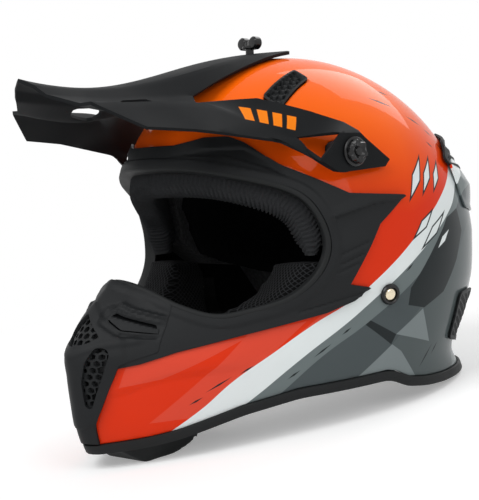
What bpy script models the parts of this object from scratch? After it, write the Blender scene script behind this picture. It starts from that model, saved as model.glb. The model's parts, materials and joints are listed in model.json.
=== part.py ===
"""Motocross helmet with a tilting visor, built as separate fitted pieces.

Worn frame while modelling: the face looks along -Y, the wearer's left is +X and +Z is up.
Every layer (shell, panels, liner, pads) is an offset of one master surface, so the pieces
stay nested when a size changes. At the end the helmet is pitched back onto its chin foot
and its rear rim, the way it stands on a table.
"""
import math

import bmesh
import bpy
from mathutils import Vector

MM = 0.001

# Master surface: the crown is a half ellipsoid above the widest level, leaning forward.
HALF_WIDTH = 121 * MM
CROWN_RISE = 126 * MM
FRONT_REACH = 150 * MM
REAR_REACH = 125 * MM
WIDEST_Y = 15 * MM
WIDEST_Z = 15 * MM
CROWN_LEAN = 18 * MM
# Below the widest level, station by station: depth, then the width and the front and
# rear reach as shares of the crown's.
STATIONS = (
    (0 * MM, 1.0, 1.0, 1.0),
    (20 * MM, 0.992, 1.025, 1.01),
    (34 * MM, 0.98, 1.09, 1.005),
    (58 * MM, 0.94, 1.25, 0.95),
    (85 * MM, 0.898, 1.36, 0.86),
    (101 * MM, 0.876, 1.352, 0.965),
    (115 * MM, 0.855, 1.338, 0.985),
    (136 * MM, 0.815, 1.31, 0.985),
    (152 * MM, 0.775, 1.265, 0.985),
    (175 * MM, 0.72, 1.17, 0.985),
)
# Share of a straight wedge in the front of the crown and the chin sections, the depths where it
# grows from one to the other, and how soft its ridge is.
CROWN_WEDGE = 0.12
CHIN_WEDGE = 0.36
WEDGE_SOFT = 0.07
WEDGE_START = 12 * MM
WEDGE_FULL = 55 * MM
AROUND = 36
CROWN_ROWS = 8
LOWER_ROWS = 12
# The outlines are drawn in millimetres over a surface of this half width, crown rise, front and
# rear reach and widest point. They stretch with the surface when it is resized.
DRAWN = {"wide": 121, "rise": 126, "front": 150, "rear": 125, "y": 15, "z": 15}
LOWEST = WIDEST_Z - STATIONS[-1][0]
CROWN_TOP = WIDEST_Z + CROWN_RISE

# Layer thicknesses and the running gap between neighbours.
GAP = 0.3 * MM
SHELL = 4 * MM
PANEL = 2.2 * MM
COVER = 3.6 * MM
FOAM = 27 * MM
CHIN_FOAM = 20 * MM
COMFORT = 9 * MM
CHEEK = 33 * MM
TRIM_HEIGHT = 7 * MM
HEX_PITCH = 10 * MM
HEX_R = 4.2 * MM
HEX_MARGIN = 0.8 * MM

# Standing: the chin foot and the rear rim touch the table, both on one line.
FOOT_INSET = 47.5 * MM
FOOT_Y = WIDEST_Y - FRONT_REACH * STATIONS[7][2] + FOOT_INSET
FOOT_Z = -141 * MM
FOOT_LENGTH = 24 * MM
REST_INSET = 14 * MM
REST_Y = WIDEST_Y + REAR_REACH - REST_INSET
REST_Z = -84.5 * MM
REST_LENGTH = 20 * MM
PITCH = math.atan2(REST_Z - FOOT_Z, REST_Y - FOOT_Y)

# Visor: pivot of the side screws, plate thickness and screw sizes.
PIVOT_Y = -42 * MM
PIVOT_Z = 66 * MM
ARM_INSET = 6 * MM
ARM_X = HALF_WIDTH - ARM_INSET
BOSS_INSET = 25 * MM
BOSS_BORE = 14 * MM
VISOR_THICK = 2.4 * MM
SCREW_R = 3 * MM
BOSS_R = 8 * MM
SIDE_HEAD_R = 9 * MM
SIDE_HEAD_T = 6 * MM
TOP_SCREW_Y = -38 * MM
TOP_SLOT = 20 * MM
TOP_SLOT_BACK = 2.5 * MM
TOP_BOSS_DEPTH = 24 * MM
TOP_SEAT_DEPTH = 3 * MM
TOP_HEAD_RISE = 5 * MM
TOP_SHANK = 24.5 * MM

# Chin strap: rivets, webbing and rings.
RIVET_Y = -7 * MM
RIVET_Z = -30 * MM
RIVET_R = 4.2 * MM
WASHER_R = 6.6 * MM
STRAP_WIDTH = 24 * MM
STRAP_THICK = 2.4 * MM
RING_WIRE = 1.6 * MM
RING_WIDTH = 31 * MM
RING_DROP = 21 * MM
RING_Z = -64 * MM
LOOP_WIDTH = 13 * MM
LOOP_HEIGHT = 8 * MM


def clear_scene():
    for item in list(bpy.data.objects):
        bpy.data.objects.remove(item, do_unlink=True)


def make_material(name, colour, roughness, metallic=0.0):
    material = bpy.data.materials.new(name)
    material.use_nodes = True
    shader = material.node_tree.nodes["Principled BSDF"]
    shader.inputs["Base Color"].default_value = (*colour, 1.0)
    shader.inputs["Roughness"].default_value = roughness
    shader.inputs["Metallic"].default_value = metallic
    return material


def blend(values, depth):
    """Smooth reading of one station column at a depth below the widest level."""
    count = len(STATIONS)
    if depth >= STATIONS[-1][0]:
        return values[-1]
    k = 0
    while STATIONS[k + 1][0] < depth:
        k += 1
    slopes = []
    for i in (k, k + 1):
        low = max(i - 1, 0)
        high = min(i + 1, count - 1)
        slopes.append((values[high] - values[low]) / (STATIONS[high][0] - STATIONS[low][0]))
    span = STATIONS[k + 1][0] - STATIONS[k][0]
    s = (depth - STATIONS[k][0]) / span
    rise = values[k + 1] - values[k]
    return (values[k] + rise * (3 - 2 * s) * s * s
            + span * s * (1 - s) * (slopes[0] * (1 - s) - slopes[1] * s))


def section(z, offset):
    """Half width, front and rear reach, centre and wedge share of the surface at one height."""
    if z >= WIDEST_Z:
        share = min(1.0, (z - WIDEST_Z) / (CROWN_RISE + offset))
        scale = math.sqrt(1 - share * share)
        return ((HALF_WIDTH + offset) * scale, (FRONT_REACH + offset) * scale,
                (REAR_REACH + offset) * scale, WIDEST_Y - CROWN_LEAN * share, CROWN_WEDGE)
    depth = WIDEST_Z - z
    wide, front, rear = (blend([row[i] for row in STATIONS], depth) for i in (1, 2, 3))
    grow = min(1.0, max(0.0, (depth - WEDGE_START) / (WEDGE_FULL - WEDGE_START)))
    return (HALF_WIDTH * wide + offset, FRONT_REACH * front + offset, REAR_REACH * rear + offset,
            WIDEST_Y, CROWN_WEDGE + (CHIN_WEDGE - CROWN_WEDGE) * grow)


def ahead(share, wedge):
    """Share of the front reach left at a share of the half width."""
    straight = math.hypot(share, WEDGE_SOFT) - WEDGE_SOFT
    full = math.hypot(1, WEDGE_SOFT) - WEDGE_SOFT
    return (1 - wedge) * math.sqrt(max(0.0, 1 - share * share)) + wedge * (1 - straight / full)


def side_x(y, z):
    """Half width of the master surface at a place in the side view."""
    wide, front, rear, centre, wedge = section(z, 0.0)
    if y >= centre:
        share = (y - centre) / rear
        return wide * math.sqrt(max(0.0, 1 - share * share))
    low, high = 0.0, 1.0
    for _ in range(40):
        middle = (low + high) / 2
        if front * ahead(middle, wedge) > centre - y:
            low = middle
        else:
            high = middle
    return wide * low


def side_normal(y, z):
    """Outward direction of the master surface on the left side."""
    step = MM
    slope_y = (side_x(y + step, z) - side_x(y - step, z)) / (2 * step)
    slope_z = (side_x(y, z + step) - side_x(y, z - step)) / (2 * step)
    return Vector((1, -slope_y, -slope_z)).normalized()


def new_object(name, bm):
    bmesh.ops.recalc_face_normals(bm, faces=bm.faces)
    mesh = bpy.data.meshes.new(name)
    bm.to_mesh(mesh)
    bm.free()
    item = bpy.data.objects.new(name, mesh)
    bpy.context.scene.collection.objects.link(item)
    return item


def egg(offset, low):
    """Closed body inside the master surface moved out by an offset."""
    bm = bmesh.new()
    rows = []
    top = WIDEST_Z + CROWN_RISE + offset
    heights = [LOWEST + (WIDEST_Z - LOWEST) * k / LOWER_ROWS for k in range(LOWER_ROWS)]
    heights[0] = low
    for k in range(CROWN_ROWS):
        angle = 0.5 * math.pi * k / CROWN_ROWS
        heights.append(WIDEST_Z + (CROWN_RISE + offset) * math.sin(angle))
    for z in heights:
        wide, front, rear, centre, wedge = section(z, offset)
        row = []
        for k in range(AROUND):
            angle = 2 * math.pi * k / AROUND
            if math.cos(angle) > 0:
                y = centre - front * ahead(abs(math.sin(angle)), wedge)
            else:
                y = centre - rear * math.cos(angle)
            row.append(bm.verts.new((wide * math.sin(angle), y, z)))
        rows.append(row)
    for lower, upper in zip(rows, rows[1:]):
        for k in range(AROUND):
            n = (k + 1) % AROUND
            if k < AROUND / 2:
                bm.faces.new((lower[k], lower[n], upper[n]))
                bm.faces.new((lower[k], upper[n], upper[k]))
            else:
                bm.faces.new((lower[k], lower[n], upper[k]))
                bm.faces.new((lower[n], upper[n], upper[k]))
    bm.faces.new(list(reversed(rows[0])))
    peak = bm.verts.new((0, WIDEST_Y - CROWN_LEAN, top))
    for k in range(AROUND):
        bm.faces.new((rows[-1][k], rows[-1][(k + 1) % AROUND], peak))
    return new_object("egg", bm)


def prism(outline, axis, low, high):
    """Straight prism over an outline drawn in the view along one axis."""
    bm = bmesh.new()
    ends = []
    for level in (low, high):
        ring = []
        for a, b in outline:
            place = {"X": (level, a, b), "Y": (a, level, b), "Z": (a, b, level)}[axis]
            ring.append(bm.verts.new(place))
        ends.append(ring)
    count = len(outline)
    for k in range(count):
        n = (k + 1) % count
        bm.faces.new((ends[0][k], ends[0][n], ends[1][n], ends[1][k]))
    bm.faces.new(list(reversed(ends[0])))
    bm.faces.new(ends[1])
    return new_object("prism", bm)


def turned(profile, start, direction, segments=20):
    """Body turned about an axis: profile holds (distance along the axis, radius) pairs."""
    axis = Vector(direction).normalized()
    side = axis.orthogonal().normalized()
    other = axis.cross(side)
    bm = bmesh.new()
    rings = []
    for along, radius in profile:
        centre = Vector(start) + axis * along
        if radius == 0:
            rings.append([bm.verts.new(centre)])
            continue
        ring = []
        for k in range(segments):
            angle = 2 * math.pi * k / segments
            ring.append(bm.verts.new(centre + radius * (math.cos(angle) * side + math.sin(angle) * other)))
        rings.append(ring)
    for first, second in zip(rings, rings[1:]):
        for k in range(segments):
            n = (k + 1) % segments
            corners = [first[k % len(first)], first[n % len(first)]]
            corners += [second[n % len(second)], second[k % len(second)]]
            bm.faces.new(list(dict.fromkeys(corners)))
    if len(rings[0]) > 1:
        bm.faces.new(rings[0])
    if len(rings[-1]) > 1:
        bm.faces.new(rings[-1])
    return new_object("turned", bm)


def combine(item, tool, operation):
    """Apply one Boolean and drop the tool body."""
    modifier = item.modifiers.new("combine", "BOOLEAN")
    modifier.operation = operation
    modifier.solver = "EXACT"
    modifier.object = tool
    tool.hide_render = True
    tool.display_type = "WIRE"
    graph = bpy.context.evaluated_depsgraph_get()
    mesh = bpy.data.meshes.new_from_object(item.evaluated_get(graph))
    item.modifiers.clear()
    item.data = mesh
    bpy.data.objects.remove(tool, do_unlink=True)
    return item


def cut(item, tool):
    return combine(item, tool, "DIFFERENCE")


def keep(item, tool):
    return combine(item, tool, "INTERSECT")


def layer(inner, outer):
    """Skin between two offsets of the master surface, open at the bottom."""
    skin = egg(outer, LOWEST + 4 * MM)
    return cut(skin, egg(inner, LOWEST))


def mirrored(item, name):
    mesh = item.data.copy()
    for vertex in mesh.vertices:
        vertex.co.x = -vertex.co.x
    mesh.flip_normals()
    twin = bpy.data.objects.new(name, mesh)
    bpy.context.scene.collection.objects.link(twin)
    return twin


def finish(item, name, material, smooth=30):
    """Name the piece, give it its own material and smooth its round faces."""
    item.name = name
    item.data.name = name
    own = material.copy()
    own.name = name
    item.data.materials.clear()
    item.data.materials.append(own)
    bm = bmesh.new()
    bm.from_mesh(item.data)
    bmesh.ops.remove_doubles(bm, verts=bm.verts, dist=0.02 * MM)
    bmesh.ops.dissolve_degenerate(bm, edges=bm.edges, dist=0.01 * MM)
    bmesh.ops.triangulate(bm, faces=bm.faces)
    for face in bm.faces:
        face.smooth = smooth > 0
    for edge in bm.edges:
        sharp = len(edge.link_faces) == 2 and edge.calc_face_angle(0.0) > math.radians(max(smooth, 1))
        edge.smooth = not sharp
    bm.to_mesh(item.data)
    bm.free()
    PIECES.append(item)
    return item


def across(x):
    return x * HALF_WIDTH / DRAWN["wide"]


def along(y):
    if y < DRAWN["y"]:
        return WIDEST_Y + (y - DRAWN["y"]) * FRONT_REACH / DRAWN["front"]
    return WIDEST_Y + (y - DRAWN["y"]) * REAR_REACH / DRAWN["rear"]


def above(z):
    if z < DRAWN["z"]:
        return WIDEST_Z + (z - DRAWN["z"]) * MM
    return WIDEST_Z + (z - DRAWN["z"]) * CROWN_RISE / DRAWN["rise"]


def side_view(points):
    return [(along(y), above(z)) for y, z in points]


def front_view(points):
    return [(across(x), above(z)) for x, z in points]


def top_view(points):
    return [(across(x), along(y)) for x, y in points]


def scaled(points):
    return [(a * MM, b * MM) for a, b in points]


def curve(points, steps=4):
    """Smooth open line through the given places."""
    line = []
    for k in range(len(points) - 1):
        a = Vector(points[max(k - 1, 0)])
        b = Vector(points[k])
        c = Vector(points[k + 1])
        d = Vector(points[min(k + 2, len(points) - 1)])
        for j in range(steps):
            s = j / steps
            place = (b + 0.5 * s * ((c - a) + s * (2 * a - 5 * b + 4 * c - d + s * (3 * (b - c) + d - a))))
            line.append((place.x, place.y))
    line.append(tuple(points[-1]))
    return line


def moved(line, distance):
    """Line moved sideways to its left by a distance."""
    out = []
    for k, place in enumerate(line):
        before = Vector(line[max(k - 1, 0)])
        after = Vector(line[min(k + 1, len(line) - 1)])
        along = (after - before).normalized()
        out.append((place[0] - along.y * distance, place[1] + along.x * distance))
    return out


PIECES = []
FAR = 300 * MM

# Side-view line of the eye port, from the brow centre round the temple to the chin lip.
PORT = curve(side_view(((-150, 57), (-125, 56), (-102, 50), (-72, 39), (-57.5, 20), (-53, 0), (-59, -17),
                        (-75, -31), (-116, -41), (-136, -33), (-151, -19), (-168, -10))), 2)
# Side-view line of the lowest edge, from the chin to the rear rim.
SLOPE = math.tan(PITCH)
BASE = side_view(((-230, -139), (-174, -138), (-150, -132), (-135, -127), (-100, -111), (-66, -100.5),
                  (-30, -95), (0, -90), (8, -91), (20, -95), (40, -95.5), (60, -94)))
BASE.append((REST_Y - REST_LENGTH / 2, REST_Z - SLOPE * REST_LENGTH / 2))
BASE.append((REST_Y + REST_LENGTH, REST_Z + SLOPE * REST_LENGTH))
BASE.append((along(230), REST_Z + 28 * MM))
# Side-view outline of the black surround with its two rear wings.
SURROUND = side_view(((-150, 78), (-116, 74), (-98, 68), (-76, 59), (-40, 38), (8, 37), (-15, 16),
                      (-38, -22), (-17, -23), (-33, -33), (-52, -42), (-108, -58), (-142, -68),
                      (-161, -76), (-175, -80)))
# Front-view outline of the mouth cover, left half from the top down.
MOUTH = front_view(((0, 12), (40, 12), (46, -50), (46, -68), (29, -77), (12, -119), (11, -131),
                    (10, -150)))
# Front-view outline of the mouth opening in the shell.
MOUTH_HOLE = front_view(((0, -38), (26, -61), (11, -110), (-11, -110), (-26, -61)))


def port_body(inset):
    line = moved(PORT, -inset)
    return prism([(-FAR, line[0][1])] + line + [(-FAR, line[-1][1])], "X", -FAR, FAR)


def below_body(raise_by):
    line = [(y, z + raise_by) for y, z in BASE]
    return prism([(line[0][0], -FAR)] + line + [(line[-1][0], -FAR)], "X", -FAR, FAR)


def mouth_body(grow, low=-FAR, high=along(-80)):
    line = moved(MOUTH, grow)
    line = [(0, line[0][1] + grow)] + line[1:]
    outline = line + [(-x, z) for x, z in reversed(line) if x > 0]
    return prism(outline, "Y", low, high)


def bore(radius, start, direction, length):
    """Plain round body used to cut a hole."""
    return turned(((0, radius), (length, radius)), start, direction)


def build_shell():
    shell = layer(-SHELL, 0)
    cut(shell, port_body(0))
    cut(shell, below_body(TRIM_HEIGHT + GAP))
    cut(shell, prism(MOUTH_HOLE, "Y", -FAR, along(-100)))
    for sign in (1, -1):
        start = (sign * (HALF_WIDTH - 41 * MM), PIVOT_Y, PIVOT_Z)
        cut(shell, bore(BOSS_R + GAP, start, (sign, 0, 0), 60 * MM))
        cut(shell, rivet_hole(sign, RIVET_R * 0.6))
        cut(shell, vent_slot(sign, GAP))
        cut(shell, rear_slot(sign, GAP))
    cut(shell, bore(BOSS_R + GAP, (0, TOP_SCREW_Y, CROWN_TOP - 61 * MM), (0, 0, 1), 80 * MM))
    return finish(shell, "outer_shell", PAINT)


def rivet_hole(sign, radius):
    """Hole body along the strap rivet of one side."""
    normal = side_normal(RIVET_Y, RIVET_Z)
    start = Vector((side_x(RIVET_Y, RIVET_Z), RIVET_Y, RIVET_Z)) - normal * 25 * MM
    return turned(((0, radius), (50 * MM, radius)), (sign * start.x, start.y, start.z),
                  (sign * normal.x, normal.y, normal.z), 12)


def grown(line, centre, grow, sign):
    """Outline with each corner moved away from its centre, on either side."""
    outline = []
    for place in line:
        away = (Vector(place) - centre).normalized() * grow
        outline.append((sign * (place[0] + away.x), place[1] + away.y))
    return outline


def middle_of(line):
    return Vector((sum(p[0] for p in line) / len(line), sum(p[1] for p in line) / len(line)))


def vent_slot(sign, grow):
    """Top-view strip of a crown vent."""
    line = top_view(((57, -72), (71, -68), (62, -35), (49, -37)))
    return prism(grown(line, middle_of(line), grow * 1.5, sign), "Z", above(70), above(200))


def rear_slot(sign, grow):
    """Rear-view outline of an exhaust vent."""
    line = front_view(((44, 60), (70, 56), (66, 80), (50, 86)))
    return prism(grown(line, middle_of(line), grow * 1.5, sign), "Y", along(40), along(200))


def build_panels():
    surround = layer(GAP, GAP + PANEL)
    keep(surround, prism([(-FAR, SURROUND[0][1])] + SURROUND + [(-FAR, SURROUND[-1][1])], "X", -FAR, FAR))
    cut(surround, port_body(0))
    cut(surround, mouth_body(GAP))
    finish(surround, "eyeport_surround", MATTE)

    gasket = layer(-SHELL - 2 * MM, GAP + PANEL + 0.3 * MM)
    keep(gasket, port_body(GAP))
    cut(gasket, port_body(2.8 * MM))
    cut(gasket, mouth_body(GAP, -FAR, along(-140)))
    finish(gasket, "eyeport_gasket", RUBBER)

    cover = layer(GAP, GAP + COVER)
    keep(cover, mouth_body(0))
    cut(cover, port_body(0))
    cut(cover, below_body(TRIM_HEIGHT + GAP))
    upper = front_view(((0, -42), (16, -59), (9, -63), (0, -65), (-9, -63), (-16, -59)))
    cut(cover, prism(upper, "Y", -FAR, along(-80)))
    for sign in (1, -1):
        vent = front_view(((16, -65), (22, -69), (9, -106), (5.5, -98), (5.5, -80)))
        cut(cover, prism([(sign * x, z) for x, z in vent], "Y", -FAR, along(-80)))
        cut(cover, chin_slot(sign, GAP))
    finish(cover, "mouth_cover", MATTE)

    grille = layer(-SHELL + GAP, -GAP)
    outline = grown(MOUTH_HOLE, Vector((0, above(-70))), -0.8 * MM, 1)
    keep(grille, prism(outline, "Y", -FAR, along(-100)))
    for row in range(7):
        for column in range(-2, 3):
            x = (column + 0.5 * (row % 2)) * HEX_PITCH
            z = above(-53) - row * HEX_PITCH * 0.87
            if not grille_place(x, z):
                continue
            corners = [math.pi * k / 3 for k in range(6)]
            hole = [(x + HEX_R * math.sin(a), z + HEX_R * math.cos(a)) for a in corners]
            cut(grille, prism(hole, "Y", -FAR, along(-100)))
    finish(grille, "mouth_grille", MATTE)

    for sign, name in ((1, "chin_vent_left"), (-1, "chin_vent_right")):
        vent = layer(2 * GAP, COVER - MM)
        keep(vent, chin_slot(sign, 0))
        finish(vent, name, MATTE)

    trim = layer(-SHELL - 2 * MM, 1.6 * MM)
    cut(trim, below_body(0))
    keep(trim, below_body(TRIM_HEIGHT))
    finish(trim, "base_trim", RUBBER)

    spoiler = layer(GAP, 2.8 * MM)
    line = side_view(((72, 52), (100, 48), (160, 48), (160, 38), (110, 35), (80, 42)))
    keep(spoiler, prism(line, "X", -FAR, FAR))
    finish(spoiler, "rear_spoiler", PALE)

    for sign, side in ((1, "left"), (-1, "right")):
        vent = layer(-SHELL + GAP, 1.6 * MM)
        keep(vent, vent_slot(sign, 0))
        finish(vent, "crown_vent_" + side, MATTE)
        vent = layer(-SHELL + GAP, 1.6 * MM)
        keep(vent, rear_slot(sign, 0))
        finish(vent, "rear_vent_" + side, MATTE)


def grille_place(x, z):
    """True where a grille hole stays inside the mouth opening's edge."""
    room = math.inf
    for k, corner in enumerate(MOUTH_HOLE):
        side = (Vector(MOUTH_HOLE[k - 1]) - Vector(corner)).normalized()
        room = min(room, (x - corner[0]) * -side.y + (z - corner[1]) * side.x)
    return room > HEX_R + HEX_MARGIN


def chin_slot(sign, grow):
    """Front-view slot of a side scoop in the mouth cover."""
    line = front_view(((17, -42), (24, -45), (42, -50), (42, -56), (25, -54), (16, -48)))
    return prism(grown(line, middle_of(line), grow * 2, sign), "Y", -FAR, along(-80))


def build_liner():
    inner = -SHELL - GAP - FOAM
    foam = layer(inner, -SHELL - GAP)
    line = side_view(((-230, 68), (-118, 66), (-98, 60), (-64, 48), (-48, 24), (-42, 6), (-12, -10),
                      (40, -12), (60, -46), (230, -46)))
    keep(foam, prism([(-FAR, FAR)] + line + [(FAR, line[-1][1]), (FAR, FAR)], "X", -FAR, FAR))
    for sign in (1, -1):
        start = (sign * (HALF_WIDTH - BOSS_INSET - 4 * MM), PIVOT_Y, PIVOT_Z)
        cut(foam, bore(BOSS_R + GAP, start, (sign, 0, 0), 60 * MM))
    start = (0, TOP_SCREW_Y, CROWN_TOP - TOP_BOSS_DEPTH - 5 * MM)
    cut(foam, bore(BOSS_R + GAP, start, (0, 0, 1), 80 * MM))
    finish(foam, "eps_crown", EPS)

    chin = layer(-SHELL - GAP - CHIN_FOAM, -SHELL - GAP)
    line = side_view(((-230, -33), (-150, -33), (-138, -48), (-112, -54), (-86, -48), (-80, -60),
                      (-84, -88), (-104, -104), (-150, -118), (-230, -122)))
    keep(chin, prism(line, "X", -FAR, FAR))
    finish(chin, "eps_chin", EPS)

    skirt = layer(-SHELL - GAP - CHIN_FOAM - 8 * MM, -SHELL - 2 * MM - GAP)
    half = FOOT_LENGTH / 2
    line = side_view(((-182, -123), (-150, -119), (-104, -105.5), (-96, -108), (-102, -122), (-113, -133)))
    line = [(FOOT_Y - half - 26 * MM, FOOT_Z + 12 * MM)] + line
    line += [(FOOT_Y + half, FOOT_Z + SLOPE * half), (FOOT_Y - half, FOOT_Z - SLOPE * half)]
    keep(skirt, prism(line, "X", -FAR, FAR))
    line = front_view(((16, -160), (44, -100), (-44, -100), (-16, -160)))
    keep(skirt, prism(line, "Y", -FAR, 0))
    finish(skirt, "chin_skirt", RUBBER)

    pad = layer(inner - GAP - COMFORT, inner - GAP)
    line = side_view(((-74, 64), (-30, 50), (60, 42), (90, 30), (160, 22), (160, 160), (-74, 160)))
    keep(pad, prism(line, "X", -FAR, FAR))
    finish(pad, "crown_pad", FABRIC)

    brow = layer(-SHELL - 24 * MM, -SHELL - 2 * MM - 2 * GAP)
    outer = side_view(((-230, 64), (-116, 62), (-98, 56), (-68, 44), (-54, 22), (-49, 2), (-50, -6)))
    under = side_view(((-58, -6), (-60, 6), (-67, 20), (-92, 33), (-118, 38), (-230, 38)))
    keep(brow, prism(outer + under, "X", -FAR, FAR))
    finish(brow, "brow_pad", FABRIC)

    cheek = layer(-SHELL - GAP - CHEEK, -SHELL - 2 * MM - 2 * GAP)
    line = side_view(((-74, -32), (-64, -10), (-30, -14), (-21, -22), (-21, -78), (-30, -86), (-60, -93),
                      (-79, -88), (-76, -60)))
    keep(cheek, prism(line, "X", 0, FAR))
    twin = mirrored(cheek, "cheek")
    finish(cheek, "cheek_pad_left", FABRIC)
    finish(twin, "cheek_pad_right", FABRIC)

    roll = layer(inner - 2 * MM, -SHELL - 2 * MM - 2 * GAP)
    line = side_view(((62, -47), (170, -47), (170, -80), (56, -86), (48, -66)))
    keep(roll, prism(line, "X", -FAR, FAR))
    finish(roll, "neck_roll", FABRIC)


# Visor cage, left half: spine, wing and arm lines from the tip back.
SPINE = ((0, -231, 108.5), (0, -190, 106), (0, -154, 110.5), (0, -115, 121.5), (0, -81, 132.5),
         (0, -46, 139.6), (0, -12, 143.4))
SHOULDER = ((13, -228, 105), (14, -189, 103.5), (16, -152, 108), (20, -114, 118.5), (22, -83, 128.5),
            (18, -44, 138.4), (11, -12, 143.1))
FOOTING = ((19, -222, 98), (22, -187, 97), (26, -150, 100), (33, -117, 107.5), (31, -87, 119),
           (25, -42, 136.4), (15, -13, 142.4))
WING = ((39, -209, 91.5), (42, -182, 93.5), (46, -148, 96.5), (45, -120, 100.5))
RIDGE = ((49, -207, 93), (54, -179, 91.5), (61, -148, 91.5), (66, -118, 92))
EDGE = ((74, -181, 77.5), (78, -165, 79), (82, -148, 79.5), (88, -131, 78))
TOP_EDGE = ((76, -92, 100.5), (97, -63, 92), (107, -43, 84.5))
BAND = ((91, -108, 80), (98, -78, 74))
STRIP = (99, -92, 69.5)


def build_visor():
    bm = bmesh.new()

    def row(points):
        return [bm.verts.new((across(x), along(y), above(z))) for x, y, z in points]

    spine, shoulder, footing = row(SPINE), row(SHOULDER), row(FOOTING)
    wing, ridge, edge = row(WING), row(RIDGE), row(EDGE)
    top, band = row(TOP_EDGE), row(BAND)
    strip = row((STRIP,))[0]
    plate = []
    for y, z in scaled(((7, 12), (33, -4), (29, -9), (-8, -14), (-27, -5), (-12, 11))):
        plate.append(bm.verts.new((ARM_X, PIVOT_Y + y, PIVOT_Z + z)))
    upper, tip, heel, toe, front, back = plate
    for first, second in ((spine, shoulder), (shoulder, footing)):
        for k in range(len(first) - 1):
            bm.faces.new((first[k], second[k], second[k + 1], first[k + 1]))
    for first, second in ((footing, wing), (wing, ridge), (ridge, edge)):
        for k in range(3):
            bm.faces.new((first[k], second[k], second[k + 1], first[k + 1]))
    bm.faces.new((wing[3], ridge[3], band[0], top[0]))
    bm.faces.new((ridge[3], edge[3], band[0]))
    bm.faces.new((top[0], band[0], band[1], top[1]))
    bm.faces.new((top[1], band[1], back, top[2]))
    bm.faces.new((band[0], edge[3], strip, band[1]))
    bm.faces.new((strip, toe, front, band[1]))
    bm.faces.new((top[2], back, upper))
    bm.faces.new((upper, back, front, toe, heel, tip))
    mirror = bmesh.ops.duplicate(bm, geom=bm.verts[:] + bm.edges[:] + bm.faces[:])["geom"]
    copies = [item for item in mirror if isinstance(item, bmesh.types.BMVert)]
    for vertex in copies:
        vertex.co.x = -vertex.co.x
    bmesh.ops.remove_doubles(bm, verts=bm.verts, dist=0.05 * MM)
    bmesh.ops.recalc_face_normals(bm, faces=bm.faces)
    bm.faces.ensure_lookup_table()
    if min(bm.faces, key=lambda face: -face.calc_center_median().z).normal.z < 0:
        bmesh.ops.reverse_faces(bm, faces=bm.faces)
    mesh = bpy.data.meshes.new("visor")
    bm.to_mesh(mesh)
    bm.free()
    visor = bpy.data.objects.new("visor", mesh)
    bpy.context.scene.collection.objects.link(visor)
    thick = visor.modifiers.new("thick", "SOLIDIFY")
    thick.thickness = VISOR_THICK
    thick.offset = 1
    graph = bpy.context.evaluated_depsgraph_get()
    solid = bpy.data.meshes.new_from_object(visor.evaluated_get(graph))
    visor.modifiers.clear()
    visor.data = solid
    for sign in (1, -1):
        start = (sign * (ARM_X - 10 * MM), PIVOT_Y, PIVOT_Z)
        cut(visor, bore(SCREW_R + GAP, start, (sign, 0, 0), 40 * MM))
        window = top_view(((sign * 47, -164), (sign * 57, -158), (sign * 58, -137), (sign * 44, -134)))
        cut(visor, prism(window, "Z", above(60), above(120)))
    radius = SCREW_R + GAP
    straight = TOP_SLOT / 2 - SCREW_R
    slot = []
    for side in (1, -1):
        for k in range(7):
            angle = math.pi * k / 6
            shift = TOP_SLOT_BACK + side * (straight + radius * math.sin(angle))
            slot.append((side * radius * math.cos(angle), TOP_SCREW_Y + shift))
    cut(visor, prism(slot, "Z", above(100), above(180)))
    return finish(visor, "visor", MATTE, 25)


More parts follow.
